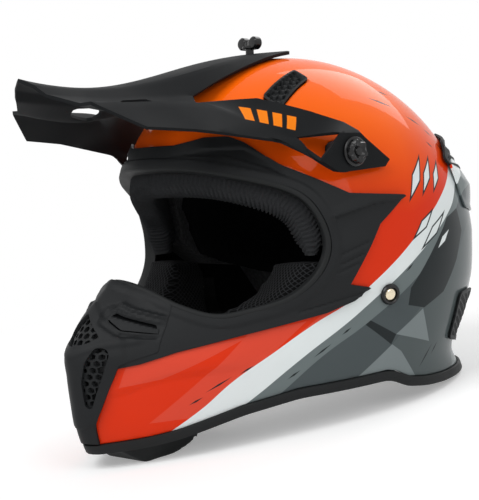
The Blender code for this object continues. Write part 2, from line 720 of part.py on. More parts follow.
def build_hardware():
    for sign, side in ((1, "left"), (-1, "right")):
        start = (sign * (HALF_WIDTH - BOSS_INSET), PIVOT_Y, PIVOT_Z)
        reach = ARM_X - HALF_WIDTH + BOSS_INSET
        boss = turned(((0, BOSS_R), (reach - GAP, BOSS_R)), start, (sign, 0, 0), 24)
        inner = (sign * (ARM_X - BOSS_BORE), PIVOT_Y, PIVOT_Z)
        cut(boss, bore(SCREW_R + GAP, inner, (sign, 0, 0), 40 * MM))
        finish(boss, "visor_boss_" + side, MATTE)
        head = reach + VISOR_THICK + GAP
        profile = ((6 * MM, 0), (6 * MM, SCREW_R), (head, SCREW_R), (head, SIDE_HEAD_R),
                   (head + SIDE_HEAD_T * 0.7, SIDE_HEAD_R), (head + SIDE_HEAD_T, SIDE_HEAD_R * 0.8),
                   (head + SIDE_HEAD_T, 0))
        screw = turned(profile, start, (sign, 0, 0), 24)
        slot = scaled(((-1.6, -14), (1.6, -14), (1.6, 14), (-1.6, 14)))
        slot = [(y + PIVOT_Y, z + PIVOT_Z) for y, z in slot]
        floor = ARM_X + VISOR_THICK + GAP + SIDE_HEAD_T * 0.45
        ends = sorted((sign * floor, sign * (floor + 20 * MM)))
        cut(screw, prism(slot, "X", ends[0], ends[1]))
        finish(screw, "visor_screw_" + side, MATTE)

    head = CROWN_TOP + TOP_HEAD_RISE
    foot = head - TOP_SHANK
    profile = ((0, BOSS_R * 0.8), (TOP_BOSS_DEPTH - TOP_SEAT_DEPTH, BOSS_R * 0.8))
    boss = turned(profile, (0, TOP_SCREW_Y, CROWN_TOP - TOP_BOSS_DEPTH), (0, 0, 1), 24)
    cut(boss, bore(SCREW_R + GAP, (0, TOP_SCREW_Y, foot - 0.5 * MM), (0, 0, 1), 40 * MM))
    finish(boss, "visor_boss_top", MATTE)
    profile = ((0, 0), (0, SCREW_R), (head - foot, SCREW_R), (head - foot, 5.4 * MM),
               (head - foot + 2.5 * MM, 5.4 * MM), (head - foot + 2.5 * MM, 3.4 * MM),
               (head - foot + 3.9 * MM, 3.4 * MM), (head - foot + 3.9 * MM, 0))
    screw = turned(profile, (0, TOP_SCREW_Y, foot), (0, 0, 1), 20)
    wings = scaled(((-9, -1), (-6, -2.6), (0, -1.6), (6, -2.6), (9, -1)))
    wings += [(-x, -y) for x, y in wings]
    blade = prism([(x, y + TOP_SCREW_Y) for x, y in wings], "Z", head + 1.6 * MM, head + 4.4 * MM)
    combine(screw, blade, "UNION")
    finish(screw, "visor_screw_top", MATTE)

    normal = side_normal(RIVET_Y, RIVET_Z)
    seat = Vector((side_x(RIVET_Y, RIVET_Z), RIVET_Y, RIVET_Z))
    for sign, side in ((1, "left"), (-1, "right")):
        axis = (sign * normal.x, normal.y, normal.z)
        start = seat + normal * 0.7 * MM
        washer = turned(((0, WASHER_R), (1.4 * MM, WASHER_R), (2 * MM, WASHER_R - 0.6 * MM)),
                        (sign * start.x, start.y, start.z), axis, 24)
        cut(washer, rivet_hole(sign, RIVET_R * 0.55))
        finish(washer, "rivet_washer_" + side, MATTE)
        start = seat - normal * (SHELL + 7 * MM)
        back = 3 * MM + SHELL + 7 * MM
        shank = RIVET_R * 0.5
        profile = ((0, 0), (0, RIVET_R), (1.4 * MM, RIVET_R), (1.4 * MM, shank), (back, shank),
                   (back, RIVET_R), (back + 1.2 * MM, RIVET_R * 0.85), (back + 1.8 * MM, 0))
        rivet = turned(profile, (sign * start.x, start.y, start.z), axis, 16)
        finish(rivet, "strap_rivet_" + side, BRASS)


def ribbon(path, thick, low, high):
    """Band of webbing along a path in the front view, from one Y to another."""
    left = moved(path, thick / 2)
    right = moved(path, -thick / 2)
    return prism(left + list(reversed(right)), "Y", low, high)


def build_straps():
    normal = side_normal(RIVET_Y, RIVET_Z)
    lean = normal.z / normal.x
    top = side_x(RIVET_Y, RIVET_Z) / MM - SHELL / MM - 3.5
    low = RIVET_Y - STRAP_WIDTH / 2 + 6 * MM
    high = low + STRAP_WIDTH
    up = RIVET_Z / MM + 8
    down = RIVET_Z / MM - 8
    head = [(top + lean * -8, up), (top + lean * 8, down)]
    below = RING_Z / MM
    centre = top - 24
    fall = curve(scaled(head + [(top - 9, down - 10), (centre + 8, below + 5.5)]), 3)
    loop = []
    for k in range(11):
        angle = math.radians(30 - 230 * k / 10)
        across = centre * MM + LOOP_WIDTH / 2 * math.cos(angle)
        loop.append((across, RING_Z + LOOP_HEIGHT / 2 * math.sin(angle)))
    strap = ribbon(fall + loop, STRAP_THICK, low, high)
    cut(strap, rivet_hole(1, RIVET_R * 0.5 + GAP))
    finish(strap, "strap_left", WEBBING)
    fold = [(10, 14), (18, 30), (22, 40), (27, 38), (27, 26), (24, 10)]
    fold = [(top - inward, down - drop) for inward, drop in fold]
    strap = ribbon(curve(scaled(head + fold), 3), STRAP_THICK, low, high)
    cut(strap, rivet_hole(1, RIVET_R * 0.5 + GAP))
    twin = mirrored(strap, "strap")
    bpy.data.objects.remove(strap, do_unlink=True)
    finish(twin, "strap_right", WEBBING)
    for shift, name in ((2.5, "d_ring_outer"), (-2.5, "d_ring_inner")):
        ring_body(name, (centre + shift) * MM, (low + high) / 2, RING_Z)


def ring_body(name, x, y, z):
    """D-shaped wire ring hanging from a straight bar along Y."""
    half = RING_WIDTH / 2
    path = [(y - half, z), (y + half, z)]
    for k in range(1, 10):
        angle = math.pi * k / 10
        path.append((y + half * math.cos(angle), z - RING_DROP * math.sin(angle)))
    bm = bmesh.new()
    count = len(path)
    rings = []
    for k in range(count):
        before = Vector(path[k - 1])
        here = Vector(path[k])
        after = Vector(path[(k + 1) % count])
        along = ((here - before).normalized() + (after - here).normalized()).normalized()
        normal = Vector((-along.y, along.x))
        stretch = 1 / max(0.6, along.dot((after - here).normalized()))
        ring = []
        for j in range(8):
            angle = 2 * math.pi * j / 8
            flat = here + normal * RING_WIRE * stretch * math.cos(angle)
            ring.append(bm.verts.new((x + RING_WIRE * math.sin(angle), flat.x, flat.y)))
        rings.append(ring)
    for k in range(count):
        first, second = rings[k], rings[(k + 1) % count]
        for j in range(8):
            n = (j + 1) % 8
            bm.faces.new((first[j], first[n], second[n], second[j]))
    finish(new_object(name, bm), name, STEEL)


def stand():
    """Pitch the helmet onto its foot and rear rim and put the origin under its middle."""
    spin = -PITCH
    cosine, sine = math.cos(spin), math.sin(spin)
    low = [math.inf] * 3
    high = [-math.inf] * 3
    for item in PIECES:
        for vertex in item.data.vertices:
            x, y, z = vertex.co
            place = (x, y * cosine - z * sine, y * sine + z * cosine)
            low = [min(a, b) for a, b in zip(low, place)]
            high = [max(a, b) for a, b in zip(high, place)]
    root = bpy.data.objects.new("helmet_root", None)
    bpy.context.scene.collection.objects.link(root)
    root.rotation_euler = (spin, 0, 0)
    root.location = (-(low[0] + high[0]) / 2, -(low[1] + high[1]) / 2, -low[2])
    pivots = {
        "visor": (0, PIVOT_Y, PIVOT_Z),
        "visor_screw_left": (ARM_X, PIVOT_Y, PIVOT_Z),
        "visor_screw_right": (-ARM_X, PIVOT_Y, PIVOT_Z),
        "visor_screw_top": (0, TOP_SCREW_Y, CROWN_TOP - MM),
    }
    for item in PIECES:
        place = Vector(pivots.get(item.name, (0, 0, 0)))
        if item.name.startswith("d_ring"):
            xs = [v.co.x for v in item.data.vertices]
            ys = [v.co.y for v in item.data.vertices]
            place = Vector(((min(xs) + max(xs)) / 2, (min(ys) + max(ys)) / 2, RING_Z))
        for vertex in item.data.vertices:
            vertex.co -= place
        item.location = place
        item.parent = root


clear_scene()
PAINT = make_material("paint", (0.95, 0.16, 0.012), 0.22)
MATTE = make_material("matte", (0.022, 0.023, 0.024), 0.55)
RUBBER = make_material("rubber", (0.018, 0.018, 0.018), 0.75)
PALE = make_material("pale", (0.62, 0.64, 0.64), 0.3)
EPS = make_material("eps", (0.05, 0.05, 0.052), 0.85)
FABRIC = make_material("fabric", (0.03, 0.03, 0.032), 0.95)
WEBBING = make_material("webbing", (0.02, 0.02, 0.02), 0.9)
BRASS = make_material("brass", (0.62, 0.42, 0.16), 0.35, 1.0)
STEEL = make_material("steel", (0.6, 0.6, 0.62), 0.3, 1.0)
build_shell()
build_panels()
build_liner()
build_visor()
build_hardware()
build_straps()
stand()
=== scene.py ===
import json
import math

import bmesh
import bpy
import numpy as np
from mathutils import Matrix, Vector


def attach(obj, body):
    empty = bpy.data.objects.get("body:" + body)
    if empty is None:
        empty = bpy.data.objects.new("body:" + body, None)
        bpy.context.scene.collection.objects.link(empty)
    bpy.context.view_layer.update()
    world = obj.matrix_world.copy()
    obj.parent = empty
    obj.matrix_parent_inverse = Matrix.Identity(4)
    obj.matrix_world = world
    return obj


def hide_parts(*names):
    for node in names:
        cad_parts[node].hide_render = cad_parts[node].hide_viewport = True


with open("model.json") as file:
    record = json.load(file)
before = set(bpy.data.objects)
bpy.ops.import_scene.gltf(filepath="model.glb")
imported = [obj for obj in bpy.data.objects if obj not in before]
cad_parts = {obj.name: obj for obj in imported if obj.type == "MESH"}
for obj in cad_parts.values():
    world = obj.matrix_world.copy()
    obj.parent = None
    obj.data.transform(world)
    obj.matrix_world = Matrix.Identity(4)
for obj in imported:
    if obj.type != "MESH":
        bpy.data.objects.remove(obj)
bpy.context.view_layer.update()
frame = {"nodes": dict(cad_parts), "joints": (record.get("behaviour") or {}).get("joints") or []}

# Looks of the motocross helmet. Everything is drawn in millimetres in the worn frame: the face
# looks along -Y, the wearer's left is +X and +Z is up. HELMET pitches that frame onto the table.
MM = 0.001
PIVOT = (0, -42, 66)
JOINTS = {joint["name"]: joint for joint in frame["joints"]}
UPRIGHT = JOINTS["visor_screw_top_turn"]["axis"]
PITCH = math.atan2(UPRIGHT[1], UPRIGHT[2])
HELMET = (Matrix.Translation(JOINTS["visor_tilt"]["pos_m"]) @ Matrix.Rotation(-PITCH, 4, "X")
          @ Matrix.Translation(-Vector(PIVOT) * MM))

# Master surface, as in the CAD model.
HALF_WIDTH = 121
CROWN_RISE = 126
FRONT_REACH = 150
REAR_REACH = 125
WIDEST_Y = 15
WIDEST_Z = 15
CROWN_LEAN = 18
STATIONS = np.array((
    (0, 1.0, 1.0, 1.0),
    (20, 0.992, 1.025, 1.01),
    (34, 0.98, 1.09, 1.005),
    (58, 0.94, 1.25, 0.95),
    (85, 0.898, 1.36, 0.86),
    (101, 0.876, 1.352, 0.965),
    (115, 0.855, 1.338, 0.985),
    (136, 0.815, 1.31, 0.985),
    (152, 0.775, 1.265, 0.985),
    (175, 0.72, 1.17, 0.985),
))
CROWN_WEDGE = 0.12
CHIN_WEDGE = 0.36
WEDGE_SOFT = 0.07
WEDGE_START = 12
WEDGE_FULL = 55
LOWEST = -158
FAR = 400
HALVINGS = 40
CAP = 0.72
SNAP = 0.3
MERGE = 0.01
CORNER_SHARE = 0.45
SLOPE_STEP = 0.5
SIDES = ((1, "left"), (-1, "right"))

# Layers of the CAD model.
GAP = 0.3
SHELL = 4.0
PANEL = 2.2
COVER = 3.6
TUCK = 1.5
TRIM_HEIGHT = 7.0
ARM_X = 115.0
VISOR_THICK = 2.4
RIVET_Y = -7.0
RIVET_Z = -30.0
RING_Z = -64.0

# Camera fitted to the photograph, in the worn frame.
VIEW_TURN = math.radians(52)
VIEW_DISTANCE = 1.25
VIEW_SHIFT = -0.0374
FOCAL_PIXELS = 1689
PHOTO_HEIGHT = 500
SENSOR = 36


def blend(column, depth):
    """Smooth reading of one station column at depths below the widest level."""
    depths = STATIONS[:, 0]
    values = STATIONS[:, column]
    last = len(depths) - 1
    before = np.maximum(np.arange(last + 1) - 1, 0)
    after = np.minimum(np.arange(last + 1) + 1, last)
    slopes = (values[after] - values[before]) / (depths[after] - depths[before])
    k = np.clip(np.searchsorted(depths, depth) - 1, 0, last - 1)
    span = depths[k + 1] - depths[k]
    s = np.clip((depth - depths[k]) / span, 0, 1)
    rise = values[k + 1] - values[k]
    bend = slopes[k] * (1 - s) - slopes[k + 1] * s
    return values[k] + rise * (3 - 2 * s) * s * s + span * s * (1 - s) * bend


def section(z, offset):
    """Half width, front and rear reach, centre and wedge share of the surface at heights."""
    z = np.asarray(z, float)
    share = np.clip((z - WIDEST_Z) / (CROWN_RISE + offset), 0, 1)
    scale = np.sqrt(1 - share ** 2)
    depth = np.maximum(WIDEST_Z - z, 0)
    grow = np.clip((depth - WEDGE_START) / (WEDGE_FULL - WEDGE_START), 0, 1)
    reach = []
    for column, size in ((1, HALF_WIDTH), (2, FRONT_REACH), (3, REAR_REACH)):
        low = size * blend(column, depth) + offset
        reach.append(np.where(z < WIDEST_Z, low, (size + offset) * scale))
    centre = WIDEST_Y - CROWN_LEAN * share
    return (*reach, centre, CROWN_WEDGE + (CHIN_WEDGE - CROWN_WEDGE) * grow)


def ahead(share, wedge):
    """Share of the front reach left at a share of the half width."""
    straight = (np.hypot(share, WEDGE_SOFT) - WEDGE_SOFT) / (math.hypot(1, WEDGE_SOFT) - WEDGE_SOFT)
    return (1 - wedge) * np.sqrt(np.maximum(0, 1 - share ** 2)) + wedge * (1 - straight)


def around(turn, z, offset):
    """Places on the surface by their turn from the front and their height."""
    wide, front, rear, centre, wedge = section(z, offset)
    y = np.where(np.cos(turn) > 0, centre - front * ahead(np.abs(np.sin(turn)), wedge),
                 centre - rear * np.cos(turn))
    return np.stack((wide * np.sin(turn), y, z + 0 * y), axis=-1)


def front_place(x, z, offset):
    """Place on the front of the surface under a point of the front view."""
    wide, front, _, centre, wedge = section(z, offset)
    y = centre - front * ahead(np.minimum(np.abs(x) / wide, 1), wedge)
    return np.stack((x + 0 * y, y, z + 0 * y), axis=-1)


def halved(low, high, holds):
    """Last numbers between two rows of numbers for which a test holds."""
    for _ in range(HALVINGS):
        middle = (low + high) / 2
        good = holds(middle)
        low = np.where(good, middle, low)
        high = np.where(good, high, middle)
    return low


def side_place(y, z, offset):
    """Place on the left side of the surface under a point of the side view."""
    y = np.asarray(y, float)
    z = np.asarray(z, float)
    wide, front, rear, centre, wedge = section(z, offset)

    def inside(share):
        return np.where(y < centre, front * ahead(share, wedge) - (centre - y),
                        rear * np.sqrt(1 - share ** 2) - (y - centre)) > 0

    low = np.zeros(np.broadcast(y, z).shape)
    share = halved(low, low + 1, inside)
    return np.stack((wide * share, y + 0 * share, z + 0 * share), axis=-1)


def top_place(x, y, offset):
    """Place on the crown under a point of the top view."""
    x = np.asarray(x, float)
    y = np.asarray(y, float)

    def inside(z):
        wide, front, rear, centre, wedge = section(z, offset)
        share = np.minimum(np.abs(x) / wide, 1)
        edge = np.where(y < centre, front * ahead(share, wedge), rear * np.sqrt(1 - share ** 2))
        return (np.abs(y - centre) < edge) & (np.abs(x) < wide)

    low = np.full(np.broadcast(x, y).shape, float(WIDEST_Z))
    z = halved(low, low + CROWN_RISE + offset, inside)
    return np.stack((x + 0 * z, y + 0 * z, z), axis=-1)


def outward(places):
    """Outward direction of the surface at places on it, from its slopes in the side view."""
    y = places[:, 1]
    z = places[:, 2]
    side = np.where(places[:, 0] < 0, -1.0, 1.0)
    slope_y = side_place(y + SLOPE_STEP, z, 0)[:, 0] - side_place(y - SLOPE_STEP, z, 0)[:, 0]
    slope_z = side_place(y, z + SLOPE_STEP, 0)[:, 0] - side_place(y, z - SLOPE_STEP, 0)[:, 0]
    out = np.stack((side, -slope_y / (2 * SLOPE_STEP), -slope_z / (2 * SLOPE_STEP)), axis=-1)
    return out / np.linalg.norm(out, axis=1)[:, None]


def dome(offset, cells, low=LOWEST, where=None):
    """Grid over the whole surface with a square cap in place of a pole: points and faces."""
    steps = np.linspace(-1, 1, cells + 1)
    a, b = np.meshgrid(steps, steps, indexing="ij")
    p = CAP * a * np.sqrt(1 - b * b / 2)
    q = CAP * b * np.sqrt(1 - a * a / 2)
    turn = np.arctan2(p, q)
    height = WIDEST_Z + (CROWN_RISE + offset) * np.sqrt(1 - p * p - q * q)
    points = [around(turn.ravel(), height.ravel(), offset)]
    index = np.arange((cells + 1) ** 2).reshape(cells + 1, cells + 1)
    corners = (index[:-1, 1:], index[1:, 1:], index[1:, :-1], index[:-1, :-1])
    faces = [np.stack([corner.ravel() for corner in corners], axis=1)]
    ring = np.concatenate((index[:-1, -1], index[-1, :0:-1], index[:0:-1, 0], index[0, :-1]))
    turns = turn.ravel()[ring]
    cell = 2 * math.pi * HALF_WIDTH / (4 * cells)
    climb = np.linspace(math.acos(CAP), 0, int(CROWN_RISE * math.acos(CAP) / cell) + 1)[1:]
    fall = np.linspace(WIDEST_Z, low, int((WIDEST_Z - low) / cell) + 1)[1:]
    heights = np.concatenate((WIDEST_Z + (CROWN_RISE + offset) * np.sin(climb), fall))
    count = len(index.ravel())
    for z in heights:
        points.append(around(turns, np.full(len(turns), z), offset))
        lower = count + np.arange(len(turns))
        count += len(turns)
        corners = (ring, lower, np.roll(lower, -1), np.roll(ring, -1))
        faces.append(np.stack(corners, axis=1))
        ring = lower
    points = np.concatenate(points)
    faces = np.concatenate(faces)
    if where is not None:
        faces = faces[where(points)[faces].all(1)]
        used = np.unique(faces)
        number = np.zeros(len(points), int)
        number[used] = np.arange(len(used))
        points = points[used]
        faces = number[faces]
    return points, [tuple(face) for face in faces.tolist()]


def curve(points, steps=6, closed=False):
    """Smooth line through places."""
    points = np.asarray(points, float)
    count = len(points)
    line = []
    for k in range(count if closed else count - 1):
        if closed:
            a, b, c, d = (points[(k + j) % count] for j in (-1, 0, 1, 2))
        else:
            a, b, c, d = (points[min(max(k + j, 0), count - 1)] for j in (-1, 0, 1, 2))
        for j in range(steps):
            s = j / steps
            bend = 2 * a - 5 * b + 4 * c - d + s * (3 * (b - c) + d - a)
            line.append(b + 0.5 * s * ((c - a) + s * bend))
    if not closed:
        line.append(points[-1])
    return np.array(line)


def rounded(points, radius, steps=4):
    """Closed outline with its corners rounded off."""
    points = np.asarray(points, float)
    count = len(points)
    line = []
    for k in range(count):
        corner = points[k]
        before = points[k - 1] - corner
        after = points[(k + 1) % count] - corner
        reach = min(radius, CORNER_SHARE * np.linalg.norm(before), CORNER_SHARE * np.linalg.norm(after))
        first = corner + before / np.linalg.norm(before) * reach
        last = corner + after / np.linalg.norm(after) * reach
        for j in range(steps + 1):
            s = j / steps
            line.append((1 - s) ** 2 * first + 2 * s * (1 - s) * corner + s * s * last)
    return np.array(line)


def mirror_line(points):
    """Closed outline from its left half, which runs from the middle to the middle."""
    return [tuple(p) for p in points] + [(-p[0], p[1]) for p in reversed(points) if p[0] > 0]


def inside_of(outline, axes):
    """Field that is positive inside an outline, as a distance in that view."""
    outline = np.asarray(outline, float)
    start = outline
    span = np.roll(outline, -1, axis=0) - start

    def field(points):
        flat = points[:, axes]
        away = flat[:, None, :] - start[None]
        share = np.clip((away * span).sum(2) / np.maximum((span ** 2).sum(1), 1e-9), 0, 1)
        gap = np.linalg.norm(away - share[..., None] * span, axis=2).min(1)
        above = away[..., 1] < 0
        crosses = above != np.roll(above, -1, axis=1)
        lean = away[..., 0] * span[:, 1] - away[..., 1] * span[:, 0]
        right = (lean < 0) == (span[:, 1] > 0)
        odd = (crosses & right).sum(1) % 2
        return np.where(odd == 1, gap, -gap)

    return field


SIDE = (1, 2)
FRONT = (0, 2)
TOP = (0, 1)


def outside_of(outline, axes, where=None):
    """Field that is negative inside an outline, only in the part of space given."""
    field = inside_of(outline, axes)

    def opposite(points):
        value = -field(points)
        return value if where is None else np.where(where(points), value, FAR)

    return opposite


def trim(points, faces, field):
    """Cut a sheet along the zero line of a field and keep its positive side."""
    values = field(points)
    points = points.copy()
    near = {}
    mixed = []
    whole = []
    for face in faces:
        marks = [values[i] > 0 for i in face]
        if all(marks):
            whole.append(face)
        elif any(marks):
            mixed.append(face)
    for face in mixed:
        for a, b in zip(face, face[1:] + face[:1]):
            if (values[a] > 0) != (values[b] > 0):
                share = values[a] / (values[a] - values[b])
                for i, part in ((a, share), (b, 1 - share)):
                    if part < SNAP and part < near.get(i, (SNAP,))[0]:
                        near[i] = (part, points[a] + (points[b] - points[a]) * share)
    for i, (_, place) in near.items():
        points[i] = place
        values[i] = 0
    extra = []
    cuts = {}
    kept = [face for face in whole if any(values[i] > 0 for i in face)]
    for face in mixed:
        ring = []
        for a, b in zip(face, face[1:] + face[:1]):
            if values[a] >= 0:
                ring.append(a)
            if values[a] * values[b] < 0:
                key = (min(a, b), max(a, b))
                if key not in cuts:
                    share = values[a] / (values[a] - values[b])
                    cuts[key] = len(points) + len(extra)
                    extra.append(points[a] + (points[b] - points[a]) * share)
                ring.append(cuts[key])
        if len(ring) > 2 and any(i >= len(points) or values[i] > 0 for i in ring):
            kept.append(tuple(ring))
    if extra:
        points = np.concatenate((points, np.array(extra)))
    used = sorted({i for face in kept for i in face})
    number = {old: new for new, old in enumerate(used)}
    return points[used], [tuple(number[i] for i in face) for face in kept]


def sheet_normals(points, faces):
    mesh = bpy.data.meshes.new("normals")
    mesh.from_pydata(points.tolist(), [], faces)
    out = np.zeros(len(points) * 3)
    mesh.vertices.foreach_get("normal", out)
    bpy.data.meshes.remove(mesh)
    return out.reshape(-1, 3)


def raised(points, faces, amount):
    """Sheet with each point moved out by an amount, an array or one number."""
    return points + sheet_normals(points, faces) * np.reshape(amount, (-1, 1))


def rims(faces):
    """Boundary loops of a sheet, as ordered point numbers."""
    edges = {(a, b) for face in faces for a, b in zip(face, face[1:] + face[:1])}
    after = {a: b for a, b in edges if (b, a) not in edges}
    loops = []
    while after:
        start, place = after.popitem()
        loop = [start]
        while place != start and place in after:
            loop.append(place)
            place = after.pop(place)
        loops.append(loop)
    return sorted(loops, key=len, reverse=True)


def even(line, spacing, closed=False, soften=0):
    """Line resampled at even steps, after some smoothing."""
    line = np.asarray(line, float)
    for _ in range(soften):
        if closed:
            line = (np.roll(line, 1, axis=0) + 2 * line + np.roll(line, -1, axis=0)) / 4
        else:
            line[1:-1] = (line[:-2] + 2 * line[1:-1] + line[2:]) / 4
    if closed:
        line = np.concatenate((line, line[:1]))
    length = np.concatenate(([0], np.cumsum(np.linalg.norm(np.diff(line, axis=0), axis=1))))
    count = max(4, int(round(length[-1] / spacing)))
    at = np.linspace(0, length[-1], count + 1)
    result = np.stack([np.interp(at, length, line[:, k]) for k in range(line.shape[1])], axis=1)
    return result[:-1] if closed else result


def ring_faces(count, size, closed=False):
    """Faces between rings of points, with end caps unless the row of rings closes."""
    faces = []
    for k in range(count if closed else count - 1):
        here = k * size
        after = (k + 1) % count * size
        for j in range(size):
            m = (j + 1) % size
            faces.append((here + j, here + m, after + m, after + j))
    if not closed:
        faces.append(tuple(range(size))[::-1])
        faces.append(tuple(range((count - 1) * size, count * size)))
    return faces


def sweep(path, out, profile, closed=False):
    """Skin of a closed profile of (across, out) places led along a path."""
    if closed:
        along = np.roll(path, -1, axis=0) - np.roll(path, 1, axis=0)
    else:
        along = np.gradient(path, axis=0)
    along /= np.linalg.norm(along, axis=1)[:, None]
    out = out - (out * along).sum(1)[:, None] * along
    out /= np.linalg.norm(out, axis=1)[:, None]
    side = np.cross(out, along)
    profile = np.asarray(profile, float)
    if profile.ndim == 2:
        profile = np.broadcast_to(profile, (len(path), *profile.shape))
    rings = path[:, None] + profile[..., :1] * side[:, None] + profile[..., 1:] * out[:, None]
    return rings.reshape(-1, 3), ring_faces(len(path), profile.shape[1], closed)


def lathe(profile, centre, axis, segments=48, wave=None, lobes=6):
    """Skin turned about an axis from (along, radius) pairs, with lobes on the radius if a wave is given."""
    axis = Vector(axis).normalized()
    first = axis.orthogonal().normalized()
    second = axis.cross(first)
    turn = np.linspace(0, 2 * math.pi, segments, endpoint=False)
    spoke = np.cos(turn)[:, None] * np.array(first) + np.sin(turn)[:, None] * np.array(second)
    points = []
    for k, (along, radius) in enumerate(profile):
        reach = np.full(segments, float(radius))
        if wave is not None:
            reach = reach * (1 + wave[k] * np.cos(lobes * turn))
        points.append(np.array(centre) + np.array(axis) * along + reach[:, None] * spoke)
    return np.concatenate(points), ring_faces(len(profile), segments)


def joined(*parts):
    """Several skins as one."""
    points = []
    faces = []
    count = 0
    for some_points, some_faces in parts:
        points.append(np.asarray(some_points, float))
        faces += [tuple(i + count for i in face) for face in some_faces]
        count += len(some_points)
    return np.concatenate(points), faces


def flipped(points, faces):
    """Mirror image on the wearer's other side."""
    return np.asarray(points) * (-1, 1, 1), [tuple(reversed(face)) for face in faces]


def place_object(name, points, faces, look):
    mesh = bpy.data.meshes.new(name)
    mesh.from_pydata((np.asarray(points) * MM).tolist(), [], [tuple(face) for face in faces])
    mesh.materials.append(look)
    item = bpy.data.objects.new(name, mesh)
    bpy.context.scene.collection.objects.link(item)
    item.matrix_world = HELMET
    return item


def settle(item, smooth=45):
    """Apply the modifiers, turn the faces out and smooth all but the sharp edges."""
    graph = bpy.context.evaluated_depsgraph_get()
    mesh = bpy.data.meshes.new_from_object(item.evaluated_get(graph))
    item.modifiers.clear()
    old = item.data
    item.data = mesh
    bpy.data.meshes.remove(old)
    mesh.name = item.name
    bm = bmesh.new()
    bm.from_mesh(mesh)
    bmesh.ops.remove_doubles(bm, verts=bm.verts, dist=MERGE * MM)
    bmesh.ops.recalc_face_normals(bm, faces=bm.faces)
    bm.to_mesh(mesh)
    bm.free()
    mesh.shade_smooth()
    mesh.set_sharp_from_angle(angle=math.radians(smooth))
    return item


def thicken(item, depth, edge=0.5, segments=2, grow=-1, angle=38):
    """Give a sheet a depth, inward unless grow is 1, with rounded edges."""
    solid = item.modifiers.new("thick", "SOLIDIFY")
    solid.thickness = depth * MM
    solid.offset = grow
    if edge:
        bevel = item.modifiers.new("edge", "BEVEL")
        bevel.width = edge * MM
        bevel.segments = segments
        bevel.limit_method = "ANGLE"
        bevel.angle_limit = math.radians(angle)
    return item


def panel(name, points, faces, amount, look, depth, edge=0, smooth=35):
    """Sheet raised by amounts and thickened inward, as a finished object."""
    points = raised(points, faces, amount)
    return settle(thicken(place_object(name, points, faces, look), depth, edge), smooth)


def dress(item, nodes=(), body="helmet"):
    """Let a piece ride on its body, in place of its CAD nodes."""
    item.data.transform(item.matrix_world)
    item.matrix_world = Matrix.Identity(4)
    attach(item, body)
    if nodes:
        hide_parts(*nodes)
    return item


class Nodes:
    """A node tree with short ways to add nodes."""

    def __init__(self, tree):
        self.tree = tree

    def feed(self, socket, value):
        if isinstance(value, bpy.types.NodeSocket):
            self.tree.links.new(value, socket)
        else:
            socket.default_value = value

    def node(self, kind, *values, **settings):
        """New node with its first inputs fed, apart from those given as None."""
        node = self.tree.nodes.new(kind)
        for key, value in settings.items():
            setattr(node, key, value)
        for socket, value in zip(node.inputs, values):
            if value is not None:
                self.feed(socket, value)
        return node

    def math(self, operation, *values):
        return self.node("ShaderNodeMath", *values, operation=operation).outputs[0]

    def times(self, first, second):
        return self.math("MULTIPLY", first, second)

    def plus(self, first, second):
        return self.math("ADD", first, second)

    def minus(self, first, second):
        return self.math("SUBTRACT", first, second)

    def size(self, value):
        return self.math("ABSOLUTE", value)

    def between(self, value, low, high, first=0.0, last=1.0):
        """A value's share between two numbers, led from the first to the last result."""
        return self.node("ShaderNodeMapRange", value, low, high, first, last).outputs[0]


class Look(Nodes):
    """A Principled material, drawn in the worn frame."""

    def __init__(self, name, colour, roughness, **inputs):
        self.material = bpy.data.materials.new(name)
        self.material.use_nodes = True
        super().__init__(self.material.node_tree)
        self.shader = self.tree.nodes["Principled BSDF"]
        self.shader.inputs["Base Color"].default_value = (*colour, 1)
        self.shader.inputs["Roughness"].default_value = roughness
        for key, value in inputs.items():
            self.shader.inputs[key.replace("_", " ")].default_value = value
        upright = HELMET.inverted()
        spot = self.node("ShaderNodeTexCoord").outputs["Object"]
        mapping = self.node("ShaderNodeMapping", spot, upright.translation, upright.to_euler())
        self.place = mapping.outputs[0]

    def mix(self, factor, first, second):
        node = self.node("ShaderNodeMix", data_type="RGBA")
        self.feed(node.inputs[0], factor)
        for socket, value in ((node.inputs[6], first), (node.inputs[7], second)):
            self.feed(socket, (*value, 1) if isinstance(value, tuple) else value)
        return node.outputs[2]

    def noise(self, scale, detail):
        return self.node("ShaderNodeTexNoise", self.place, None, scale, detail).outputs[0]

    def cells(self, scale):
        return self.node("ShaderNodeTexVoronoi", self.place, None, scale).outputs["Distance"]

    def axes(self):
        return self.node("ShaderNodeSeparateXYZ", self.place).outputs

    def bump(self, height, distance, before=None):
        node = self.node("ShaderNodeBump")
        node.inputs["Distance"].default_value = distance * MM
        self.feed(node.inputs["Height"], height)
        if before is not None:
            self.feed(node.inputs["Normal"], before)
        self.feed(self.shader.inputs["Normal"], node.outputs[0])
        return node.outputs[0]

    def colour(self, value):
        self.feed(self.shader.inputs["Base Color"], value)

    def rough(self, value):
        self.feed(self.shader.inputs["Roughness"], value)


# Scales of the shaders' noise, in cells per metre.
CLOUD = 35
GRAIN = 1900
NAP = 900
FIBRE = 2600
BEAD = 330
MARKS = 420
FINE = 2400
# Metres of knitted net per radian about the head, and the wave levels between which a thread rises.
NET_REACH = 0.075
THREAD = (0.52, 0.25)
# Turn of the webbing's waves, in radians per metre.
RIB_WAVES = 4200
TWILL_WAVES = 5200


def tint(colour, factor):
    return tuple(factor * c for c in colour)


def moulded(look, colour, roughness, grain):
    """Fine grain and uneven sheen of moulded plastic on a look; gives its cloudy tone."""
    cloud = look.noise(CLOUD, 3)
    look.rough(look.between(cloud, 0.3, 0.7, roughness - 0.05, roughness + 0.06))
    look.bump(look.noise(GRAIN, 2), grain)
    return look.mix(cloud, tint(colour, 0.8), tint(colour, 1.25))


def plastic(name, colour, roughness, grain=0.05, **inputs):
    look = Look(name, colour, roughness, **inputs)
    look.colour(moulded(look, colour, roughness, grain))
    return look.material


